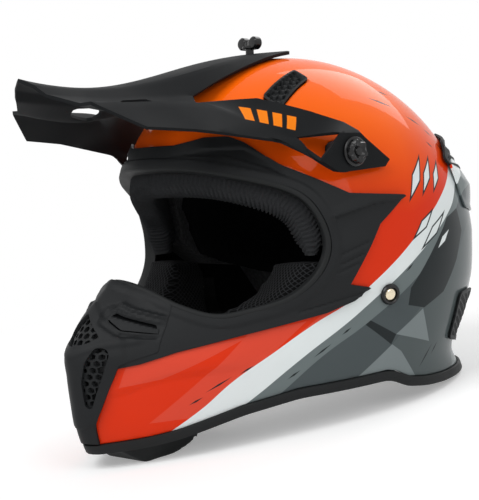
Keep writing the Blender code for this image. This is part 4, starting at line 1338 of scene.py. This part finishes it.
VENT_GRID = 0.8
VENT_LIFT = 0.8
VENT_CELL = 4.6
REAR_LIFT = 2.2
EXHAUST_LIFT = 1.9
EXHAUST_CELLS = 160
EXHAUST = ((71, -30), (98, -27), (116, -38), (112, -62), (92, -66), (66, -64))


def vent_relief(edge, lift, field, gap, pattern):
    """Heights of a vent: a raised rim, a field inside it, and gaps where a pattern is 1.

    The field and the gaps each have a depth and the distances from the edge where they start and end.
    """
    return lift - field[0] * step_up(edge, *field[1:]) - gap[0] * step_up(edge, *gap[1:]) * pattern


def slats(across, pitch, low, high):
    """Pattern of rows, 1 in the gaps between the slats."""
    return step_up(np.abs(across / pitch % 1 - 0.5) * 2, low, high)


def build_crown_vents(look):
    for sign, side in SIDES:
        outline = mirrored(CROWN_VENT, sign)
        reach = sorted(x for x, _ in outline)
        ring = inside_of(rounded(outline, 2), TOP)
        across = np.arange(reach[0] - 1, reach[-1] + 1.4, VENT_GRID)
        sheet = grid(across, np.arange(-74, -33, VENT_GRID), lambda a, b: top_place(a, b, VENT_LIFT))
        points, faces = trim(*sheet, ring)
        holes = 1 - step_up(hex_field(points[:, 0], points[:, 1], VENT_CELL), 0.66, 0.8)
        amount = vent_relief(ring(points), 0.9, (1.5, 1.5, 2.1), (1.8, 1.6, 2.4), holes)
        item = panel("crown_vent_shape_" + side, points, faces, amount, look, 1.2)
        dress(item, ("crown_vent_" + side,))


def build_rear_vents(look):
    for sign, side in SIDES:
        ring = inside_of(rounded(mirrored(REAR_COVER, sign), 3), FRONT)
        where = within(sorted((sign * 30, sign * FAR)), (20, FAR), (50, 94))
        points, faces = trimmed_dome(REAR_LIFT, PANEL_CELLS, where, (ring,), 0)
        gaps = slats(points[:, 2] - 0.1 * np.abs(points[:, 0]), 6.2, 0.3, 0.55)
        amount = vent_relief(ring(points), 1.6, (1.0, 1.8, 2.6), (1.5, 2, 2.8), gaps)
        item = panel("rear_vent_shape_" + side, points, faces, amount, look, 1.8)
        dress(item, ("rear_vent_" + side,))


def build_exhausts(look):
    ring = inside_of(rounded(EXHAUST, 4), SIDE)
    where = within(ALL, (60, FAR), (-72, -20))
    points, faces = trimmed_dome(EXHAUST_LIFT, EXHAUST_CELLS, where, (ring,), -80)
    gaps = slats(points[:, 2] + 0.45 * points[:, 1], 5.5, 0.35, 0.6)
    amount = vent_relief(ring(points), 0.6, (0.6, 2.0, 3.0), (1.2, 2.4, 3.4), gaps)
    dress(panel("rear_exhausts", points, faces, amount, look, 1.2))


# Crown pad: outline, depth below the surface, seams and how deep they and the edge are pressed in.
CROWN_PAD = ((-74, 64), (-46, 46), (-32, 14), (-19, -4), (34, -16), (160, -30), (160, 170), (-74, 170))
CROWN_PAD_DEPTH = -40.6
CROWN_PAD_THICK = 7.5
PAD_CELLS = 70
SEAMS_X = (20, 52)
SEAM_SPACING = 44
SEAM_SHIFT = 400
SEAM_DEPTH = 2.2
SEAM_WIDTH = 2.6
PAD_EDGE = 3.0


def build_crown_pad(look):
    ring = inside_of(CROWN_PAD, SIDE)
    points, faces = trimmed_dome(CROWN_PAD_DEPTH, PAD_CELLS, within(ALL, ALL, (-40, FAR)), (ring,), -50)
    across = np.abs(points[:, 0])
    y = points[:, 1]
    seam = np.minimum(np.abs(across - SEAMS_X[0] - 0.06 * y), np.abs(across - SEAMS_X[1]))
    seam = np.minimum(seam, np.abs((y + SEAM_SHIFT + 0.15 * across) % SEAM_SPACING - SEAM_SPACING / 2))
    pressed = PAD_EDGE * (1 - step_up(ring(points), 0, 7))
    amount = SEAM_DEPTH * np.exp(-(seam / SEAM_WIDTH) ** 2) + pressed - 0.6
    item = place_object("crown_pad_shape", raised(points, faces, amount), faces, look)
    dress(settle(thicken(item, CROWN_PAD_THICK, 1.5, 3, 1), 60), ("crown_pad",))


# Brow pad: middle line in the side view, and half height and half depth at shares of its length.
BROW_MIDDLE = ((-53.5, -3), (-56.5, 13), (-67, 31), (-94, 44.5), (-117, 49.5), (-170, 51))
BROW_OFFSET = -16
BROW_SPACING = 0.65
BROW_HEIGHT = ((0, 0.75, 0.93, 1), (12.0, 11.5, 9.0, 4.0))
BROW_DEPTH = ((0, 0.9, 1), (9.6, 9.2, 6.0))
BROW_SQUARE = 0.55
RIB_PITCH = 3.2
RIB_SLANT = 7.0
RIB_HEIGHT = 0.9


def side_path(line, offset, spacing):
    """Smooth line of the side view led over the surface from the left side round to the right."""
    line = even(curve(line, 12), 0.8)
    limit = front_place(np.zeros(len(line)), line[:, 1], offset)[:, 1]
    line = line[line[:, 0] > limit + 0.05]
    left = side_place(line[:, 0], line[:, 1], offset)
    middle = front_place(np.zeros(1), left[-1:, 2], offset)
    path = np.concatenate((left, middle, (left * (-1, 1, 1))[::-1]))
    return even(path, spacing, False, 8)


def build_brow_pad(look):
    path = side_path(BROW_MIDDLE, BROW_OFFSET, BROW_SPACING)
    flat = np.stack((path[:, 0], path[:, 1] - WIDEST_Y, 0.35 * path[:, 2]), axis=1)
    out = flat / np.linalg.norm(flat, axis=1)[:, None]
    count = len(path)
    share = np.abs(np.linspace(-1, 1, count))
    half = np.interp(share, *BROW_HEIGHT)
    deep = np.interp(share, *BROW_DEPTH)
    turn = np.linspace(0, 2 * math.pi, 36, endpoint=False)
    shape = np.stack((np.cos(turn), np.sin(turn)), axis=1)
    shape = np.sign(shape) * np.abs(shape) ** BROW_SQUARE
    length = np.arange(count) * BROW_SPACING
    side = np.where(np.arange(count) < count / 2, 1.0, -1.0)[:, None]
    phase = length[:, None] + shape[None, :, 0] * RIB_SLANT * side
    rib = RIB_HEIGHT * np.cos(2 * math.pi * phase / RIB_PITCH)
    scale = np.stack((half[:, None] * shape[:, 0], deep[:, None] * shape[:, 1]), axis=2)
    scale *= (1 + rib / 11)[..., None]
    item = piece("brow_pad_shape", sweep(path, out, scale), look, 70, ("brow_pad",))


def node_copy(node, name, look):
    """Copy of a CAD node's mesh to work on."""
    mesh = frame["nodes"][node].data.copy()
    mesh.materials.clear()
    mesh.materials.append(look)
    mesh.name = name
    item = bpy.data.objects.new(name, mesh)
    bpy.context.scene.collection.objects.link(item)
    item.matrix_world = frame["nodes"][node].matrix_world
    return item


def even_mesh(item, voxel, rounds):
    """Even mesh over a copy, with its edges worn round."""
    remesh = item.modifiers.new("even", "REMESH")
    remesh.mode = "VOXEL"
    remesh.voxel_size = voxel * MM
    wear = item.modifiers.new("wear", "SMOOTH")
    wear.iterations = rounds
    wear.factor = 0.5
    return settle(item, 75)


# Cloth run that fills the pads: frames, how far a point may move, and the settings of the cover.
PUFF_FRAMES = 20
PUFF_LIMIT = 1.6
PUFF = {
    "use_pressure": True,
    "uniform_pressure_force": 4,
    "mass": 0.2,
    "tension_stiffness": 30,
    "compression_stiffness": 30,
    "bending_stiffness": 2,
}


def puffed(item):
    """Fill a pad by a short cloth run, and keep each point within a limit of its start."""
    scene = bpy.context.scene
    start = np.zeros(len(item.data.vertices) * 3)
    item.data.vertices.foreach_get("co", start)
    run = item.modifiers.new("fill", "CLOTH")
    for key, value in PUFF.items():
        setattr(run.settings, key, value)
    run.settings.effector_weights.gravity = 0
    run.point_cache.frame_start = 1
    run.point_cache.frame_end = PUFF_FRAMES
    for number in range(1, PUFF_FRAMES + 1):
        scene.frame_set(number)
    graph = bpy.context.evaluated_depsgraph_get()
    done = np.zeros(len(start))
    item.evaluated_get(graph).data.vertices.foreach_get("co", done)
    item.modifiers.clear()
    scene.frame_set(1)
    shift = (done - start).reshape(-1, 3)
    size = np.linalg.norm(shift, axis=1)
    shift *= np.minimum(1, PUFF_LIMIT * MM / np.maximum(size, 1e-9))[:, None]
    item.data.vertices.foreach_set("co", (start.reshape(-1, 3) + shift).ravel())
    item.data.update()


# Cheek pad: side-view outline, and how far its faces lie inside the surface at depths of that view.
CHEEK = ((-62, -1), (-36, -1), (-21, -14), (-21, -78), (-30, -86), (-60, -93), (-84, -90), (-106, -80),
         (-115, -64), (-111, -49), (-95, -39.5), (-78, -30), (-69, -18))
CHEEK_OUTER = ((-90, -78), (-25.0, -7.0))
CHEEK_INNER = ((-113, -80, -21), (-31.0, -37.0, -37.0))
CHEEK_GRID = 4.0
PAD_VOXEL = 4.5
SKIRT_VOXEL = 1.4


def cheek_solid():
    """Closed body of the left cheek pad, thin at its front edge."""
    sheet = grid(np.arange(-116, -18, CHEEK_GRID), np.arange(-96, -4, CHEEK_GRID),
                 lambda a, b: side_place(a, b, 0))
    points, faces = trim(*sheet, inside_of(rounded(CHEEK, 6), SIDE))
    _, y, z = points.T
    outer = side_place(y, z, np.interp(y, *CHEEK_OUTER))
    inner = side_place(y, z, np.interp(y, *CHEEK_INNER))
    count = len(points)
    skin = faces + [tuple(i + count for i in reversed(face)) for face in faces]
    for loop in rims(faces):
        for a, b in zip(loop, loop[1:] + loop[:1]):
            skin.append((b, a, a + count, b + count))
    return np.concatenate((outer, inner)), skin


def build_pads(cheek_look, lining_look, rubber_look):
    body = cheek_solid()
    soft = ((place_object("cheek_soft_left", *body, cheek_look), "cheek_pad_left"),
            (place_object("cheek_soft_right", *flipped(*body), cheek_look), "cheek_pad_right"),
            (node_copy("neck_roll", "neck_roll_soft", lining_look), "neck_roll"))
    for item, node in soft:
        even_mesh(item, PAD_VOXEL, 4)
        puffed(item)
        round_off = item.modifiers.new("round", "SUBSURF")
        round_off.levels = 1
        round_off.render_levels = 1
        dress(settle(item, 80), (node,))
    item = even_mesh(node_copy("chin_skirt", "chin_skirt_rubber", rubber_look), SKIRT_VOXEL, 6)
    dress(item, ("chin_skirt",))


# Visor cage, left half: lines from the tip back, after the CAD model.
SPINE = ((0, -232, 110), (0, -190, 106), (0, -154, 110.5), (0, -115, 121.5), (0, -81, 132.5),
         (0, -46, 139.6), (0, -12, 143.4))
SHOULDER = ((11, -227, 105.5), (14, -189, 103.5), (16, -152, 108), (20, -114, 118.5), (22, -83, 128.5),
            (18, -44, 138.4), (11, -12, 143.1))
FOOTING = ((19, -222, 99), (22, -187, 98), (26, -150, 100.5), (33, -114.5, 103.5), (30, -87, 118.5),
           (25, -42, 136.4), (15, -13, 142.4))
WING = ((39, -209, 92.5), (42, -182, 88.5), (45, -150, 88), (45, -120, 97))
RIDGE = ((49, -207, 93), (54, -179, 94), (61, -148, 97), (66, -118, 95.5))
EDGE = ((74, -181, 77), (78, -165, 76.8), (82, -148, 76.5), (88, -131, 75))
TOP_EDGE = ((76, -92, 100.5), (97, -63, 92), (107, -43, 84.5))
BAND = ((91, -108, 80), (98, -78, 74))
STRIP = ((99, -92, 71),)
PLATE = ((7, 12), (33, -4), (29, -9), (-8, -14), (-27, -5), (-12, 11))


def visor_sheet():
    """Subdivided middle sheet of the visor."""
    points = []

    def row(line):
        points.extend(line)
        return list(range(len(points) - len(line), len(points)))

    spine, shoulder, footing, wing, ridge, edge, top, band, strip = map(
        row, (SPINE, SHOULDER, FOOTING, WING, RIDGE, EDGE, TOP_EDGE, BAND, STRIP))
    upper, tip, heel, toe, front, back = row([(ARM_X, PIVOT[1] + y, PIVOT[2] + z) for y, z in PLATE])
    faces = []
    rows = (spine, shoulder, footing, wing, ridge, edge)
    for first, second in zip(rows, rows[1:]):
        for k in range(len(second) - 1):
            faces.append((first[k], second[k], second[k + 1], first[k + 1]))
    faces += [(wing[3], ridge[3], band[0], top[0]), (ridge[3], edge[3], band[0]),
              (top[0], band[0], band[1], top[1]), (top[1], band[1], back, top[2]),
              (band[0], edge[3], strip[0], band[1]), (strip[0], toe, front, band[1]),
              (top[2], back, upper), (upper, back, front, toe, heel, tip)]
    lines = ((shoulder, 0.75), (footing, 0.85), (wing, 0.5), (ridge + [band[0], band[1]], 0.9),
             (edge, 1.0), ([wing[3]] + top + [upper, tip, heel, toe, strip[0], edge[3]], 0.8),
             ([upper, back, front, toe], 1.0), ([band[1], back], 0.9), ([band[1], front], 0.9),
             ([back, top[2]], 0.5))
    corners = [spine[0], shoulder[0], footing[0], wing[0], ridge[0], *edge, *strip, upper, tip, heel, toe,
               *top, spine[6], shoulder[6], footing[6], footing[3], wing[3]]
    bm = bmesh.new()
    crease = bm.edges.layers.float.new("crease_edge")
    pin = bm.verts.layers.float.new("crease_vert")
    for sign, _ in SIDES:
        made = [bm.verts.new((sign * x * MM, y * MM, z * MM)) for x, y, z in points]
        for face in faces:
            bm.faces.new([made[i] for i in (face if sign > 0 else reversed(face))])
        for k in corners:
            made[k][pin] = 1.0
        for line, value in lines:
            for a, b in zip(line, line[1:]):
                side = bm.edges.get((made[a], made[b]))
                if side:
                    side[crease] = value
    bmesh.ops.remove_doubles(bm, verts=bm.verts, dist=2 * MERGE * MM)
    mesh = bpy.data.meshes.new("visor_cage")
    bm.to_mesh(mesh)
    bm.free()
    cage = bpy.data.objects.new("visor_cage", mesh)
    bpy.context.scene.collection.objects.link(cage)
    smooth = cage.modifiers.new("smooth", "SUBSURF")
    smooth.levels = 3
    smooth.boundary_smooth = "PRESERVE_CORNERS"
    graph = bpy.context.evaluated_depsgraph_get()
    done = cage.evaluated_get(graph).data
    flat = np.zeros(len(done.vertices) * 3)
    done.vertices.foreach_get("co", flat)
    sheet = [tuple(face.vertices) for face in done.polygons]
    bpy.data.objects.remove(cage)
    return flat.reshape(-1, 3) / MM, sheet


VISOR_WINDOW = ((36, -169), (27, -172), (28.5, -150), (38, -142), (44, -147))
SCREW_HOLE = 3.4
# Ends of the slot under the top screw, behind and ahead of it.
SLOT_BACK = 11
SLOT_AHEAD = 6
ARM_INSIDE = 100
MARKED_FROM = 55


def build_visor(look, marked_look):
    slot = np.concatenate((circle((0, TOP_SCREW_Y + SLOT_BACK), SCREW_HOLE)[:21],
                           circle((0, TOP_SCREW_Y - SLOT_AHEAD), SCREW_HOLE)[20:]))
    fields = [outside_of(rounded(outline, 1.5), TOP) for outline in both(VISOR_WINDOW)]
    fields += [outside_of(slot, TOP),
               outside_of(circle(PIVOT[1:], SCREW_HOLE), SIDE, lambda p: np.abs(p[:, 0]) > ARM_INSIDE)]
    item = place_object("visor_shade", *trim_all(*visor_sheet(), fields), look)
    settle(thicken(item, VISOR_THICK, 0.6, 2, 1, 45), 22)
    item.data.materials.append(marked_look)
    middles = face_values(item.data, "center")
    normals = face_values(item.data, "normal")
    outer = (middles[:, 0] * normals[:, 0] > 0) & (np.abs(middles[:, 0]) > MARKED_FROM * MM)
    item.data.polygons.foreach_set("material_index", outer.astype(np.int32))
    dress(item, ("visor",), "visor")


# Turned profiles as (along, radius) pairs; the side knob's with the share of its lobes.
SIDE_SHANK = -13
SIDE_KNOB = ((0, 9.0, 0), (0.2, 10.0, 0), (1.6, 10.0, 0), (2.1, 9.4, 0), (2.2, 8.2, 0), (2.0, 7.8, 0.05),
             (4.8, 7.4, 0.14), (5.6, 6.7, 0.16), (5.8, 5.4, 0.1), (5.2, 4.6, 0), (4.4, 3.2, 0),
             (5.4, 2.6, 0), (5.6, 1.0, 0))
TOP_SHANK = ((-23, 2.6), (-22.5, 3), (0, 3), (0.1, 5.2), (0.4, 5.6), (1.8, 5.6), (2.3, 5.0), (2.5, 4.0),
             (5.0, 3.6))
TOP_LOBE = ((-3.4, 2.6), (-3.3, 3.6), (-2.2, 4.6), (2.2, 4.6), (3.3, 3.6), (3.4, 2.6), (2.6, 1.8))
TOP_NECK = ((-5, 2.6), (-4, 2.8), (4, 2.8), (5, 2.6))
TOP_HEAD_Z = WIDEST_Z + CROWN_RISE + 4.6
TOP_LOBE_X = 6.4
RIVET_RING = ((0.6, 7.0), (0.8, 7.4), (2.0, 7.2), (2.9, 6.4), (3.0, 5.6), (2.6, 5.0), (1.2, 4.6))
RIVET = ((-11, 3.6), (-10.8, 4.2), (-9.6, 4.2), (-9.4, 2.1), (1.0, 2.1), (1.1, 4.5), (1.6, 4.4), (2.1, 4.0),
         (2.5, 3.2), (2.8, 2.2), (2.9, 1.2), (2.95, 0.3))


def build_screws(look):
    seat = VISOR_THICK + GAP
    for sign, side in SIDES:
        centre = (sign * ARM_X, PIVOT[1], PIVOT[2])
        axis = (sign, 0, 0)
        rows = ((SIDE_SHANK, 2.6), (SIDE_SHANK + 0.5, 3), (seat, 3), (seat + 0.5, 3))
        shank = lathe(rows, centre, axis, 24)
        rows = [(seat + along, radius) for along, radius, _ in SIDE_KNOB]
        head = lathe(rows, centre, axis, 96, [wave for _, _, wave in SIDE_KNOB])
        name = "visor_screw_" + side
        piece("side_knob_" + side, joined(shank, head), look, 40, (name,), name)
    parts = [lathe(TOP_SHANK, (0, TOP_SCREW_Y, TOP_HEAD_Z), (0, 0, 1), 32),
             lathe(TOP_NECK, (0, TOP_SCREW_Y, TOP_HEAD_Z + 3.4), (1, 0, 0), 24)]
    for sign, _ in SIDES:
        middle = (sign * TOP_LOBE_X, TOP_SCREW_Y, TOP_HEAD_Z + 4.2)
        parts.append(lathe(TOP_LOBE, middle, (0, 1, 0), 40))
    piece("top_knob", joined(*parts), look, 40, ("visor_screw_top",), "visor_screw_top")


def rivet_seat():
    """Place of the left rivet on the surface, and the outward direction there."""
    seat = side_place(np.array([RIVET_Y]), np.array([RIVET_Z]), 0)
    return seat[0], outward(seat)[0]


def build_rivets(washer_look, brass_look):
    seat, normal = rivet_seat()
    for sign, side in SIDES:
        centre = seat * (sign, 1, 1)
        axis = normal * (sign, 1, 1)
        skin = lathe(RIVET_RING, centre, axis)
        piece("rivet_ring_" + side, skin, washer_look, 40, ("rivet_washer_" + side,))
        skin = lathe(RIVET, centre, axis)
        piece("rivet_" + side, skin, brass_look, 35, ("strap_rivet_" + side,))


# Straps: webbing, the fold of the right one from its rivet, and the rings in the loop of the left one.
STRAP_WIDTH = 24.0
STRAP_THICK = 2.4
STRAP_EDGE = 0.6
STRAP_CORNER = 0.5
STRAP_HEAD = 8
STRAP_FOLD = ((10, 14), (18, 30), (22, 40), (27, 38), (27, 26), (24, 10))
LOOP_WIDE = 6.5
LOOP_HIGH = 4
RING_HALF = 15.5
RING_DEEP = 21
RING_WIRE = 1.6
RING_APART = 2.5


def build_straps(web_look, steel_look):
    seat, normal = rivet_seat()
    lean = normal[2] / normal[0]
    top = seat[0] - SHELL - 3.5
    middle = RIVET_Y + 6
    down = RIVET_Z - STRAP_HEAD
    head = [(top - STRAP_HEAD * lean, RIVET_Z + STRAP_HEAD), (top + STRAP_HEAD * lean, down)]
    centre = top - 24
    loop = []
    for k in range(11):
        angle = math.radians(30 - 230 * k / 10)
        loop.append((centre + LOOP_WIDE * math.cos(angle), RING_Z + LOOP_HIGH * math.sin(angle)))
    fall = curve(head + [(top - 9, down - 10), (centre + 8, RING_Z + 5.5)], 8)
    left = np.concatenate((fall[:-1], curve(loop, 4)))
    right = curve(head + [(top - a, down - b) for a, b in STRAP_FOLD], 8)
    half = STRAP_WIDTH / 2
    flat = half - STRAP_CORNER
    thick = STRAP_THICK / 2
    profile = ((-half, -STRAP_EDGE), (-flat, -thick), (flat, -thick), (half, -STRAP_EDGE),
               (half, STRAP_EDGE), (flat, thick), (-flat, thick), (-half, STRAP_EDGE))
    for line, (sign, side) in zip((left, right), SIDES):
        line = even(line, 1.0)
        path = np.stack((sign * line[:, 0], np.full(len(line), middle), line[:, 1]), axis=1)
        out = np.cross(np.gradient(path, axis=0), np.array((0, 1.0, 0)))
        piece("strap_web_" + side, sweep(path, out, profile), web_look, 50, ("strap_" + side,))
    line = [(middle + y, RING_Z) for y in (-RING_HALF, -8, 8, RING_HALF)]
    for k in range(1, 20):
        angle = math.pi * k / 20
        line.append((middle + RING_HALF * math.cos(angle), RING_Z - RING_DEEP * math.sin(angle)))
    line = even(line, 1.2, True, 3)
    wire = circle((0, 0), RING_WIRE, 16)
    for shift, name in ((RING_APART, "d_ring_outer"), (-RING_APART, "d_ring_inner")):
        path = np.stack((np.full(len(line), centre + shift), line[:, 0], line[:, 1]), axis=1)
        out = np.zeros(path.shape) + (1.0, 0, 0)
        piece(name + "_wire", sweep(path, out, wire, True), steel_look, 60, (name,), name)


def finish_node(node, look):
    """Show a CAD node as it is, in its own material."""
    item = frame["nodes"][node]
    item.data.materials.clear()
    item.data.materials.append(look)


VISOR_BLACK = (0.0105, 0.0113, 0.0122)
VISOR_ROUGHNESS = 0.6
FOAM_GREY = (0.03, 0.031, 0.033)
MATTE = plastic("matte_black", (0.0115, 0.0125, 0.0135), 0.55, 0.05, Specular_IOR_Level=0.16)
GLOSS = plastic("gloss_black", (0.006, 0.006, 0.0065), 0.2, 0.01, Specular_IOR_Level=0.35)
RUBBER = plastic("soft_rubber", (0.0105, 0.0115, 0.012), 0.6, 0.06, Specular_IOR_Level=0.2)
RIBBED = cloth("ribbed_foam", FOAM_GREY)
MESH = knit("mesh_knit", (0.028, 0.029, 0.031), 3.5, 0.7)
LINING = cloth("brushed_lining", (0.004, 0.0043, 0.0048))
BEADS = beads("bead_foam", FOAM_GREY)
WEB = webbing("strap_web", (0.014, 0.014, 0.0145))
BRASS = metal("brass", (0.82, 0.72, 0.54), 0.18)
STEEL = metal("steel", (0.58, 0.58, 0.6), 0.25)
PAINT = helmet_paint()
SHADE = plastic("visor_plain", VISOR_BLACK, VISOR_ROUGHNESS, 0.05, Specular_IOR_Level=0.07)

build_camera()
build_stage()
build_shell(PAINT, LINING)
build_surround(MATTE)
build_gasket(RUBBER)
build_mouth_cover(MATTE)
build_grille(MATTE)
build_chin_vents(MATTE, LINING)
build_base_trim(RUBBER)
build_spoiler(PAINT)
build_crown_vents(MATTE)
build_rear_vents(MATTE)
build_exhausts(MATTE)
build_crown_pad(LINING)
build_brow_pad(RIBBED)
build_pads(MESH, LINING, RUBBER)
build_visor(SHADE, visor_plastic(VISOR_BLACK, VISOR_ROUGHNESS))
build_screws(GLOSS)
build_rivets(GLOSS, BRASS)
build_straps(WEB, STEEL)
for node in ("eps_crown", "eps_chin"):
    finish_node(node, BEADS)
for node in ("visor_boss_left", "visor_boss_right", "visor_boss_top"):
    finish_node(node, MATTE)
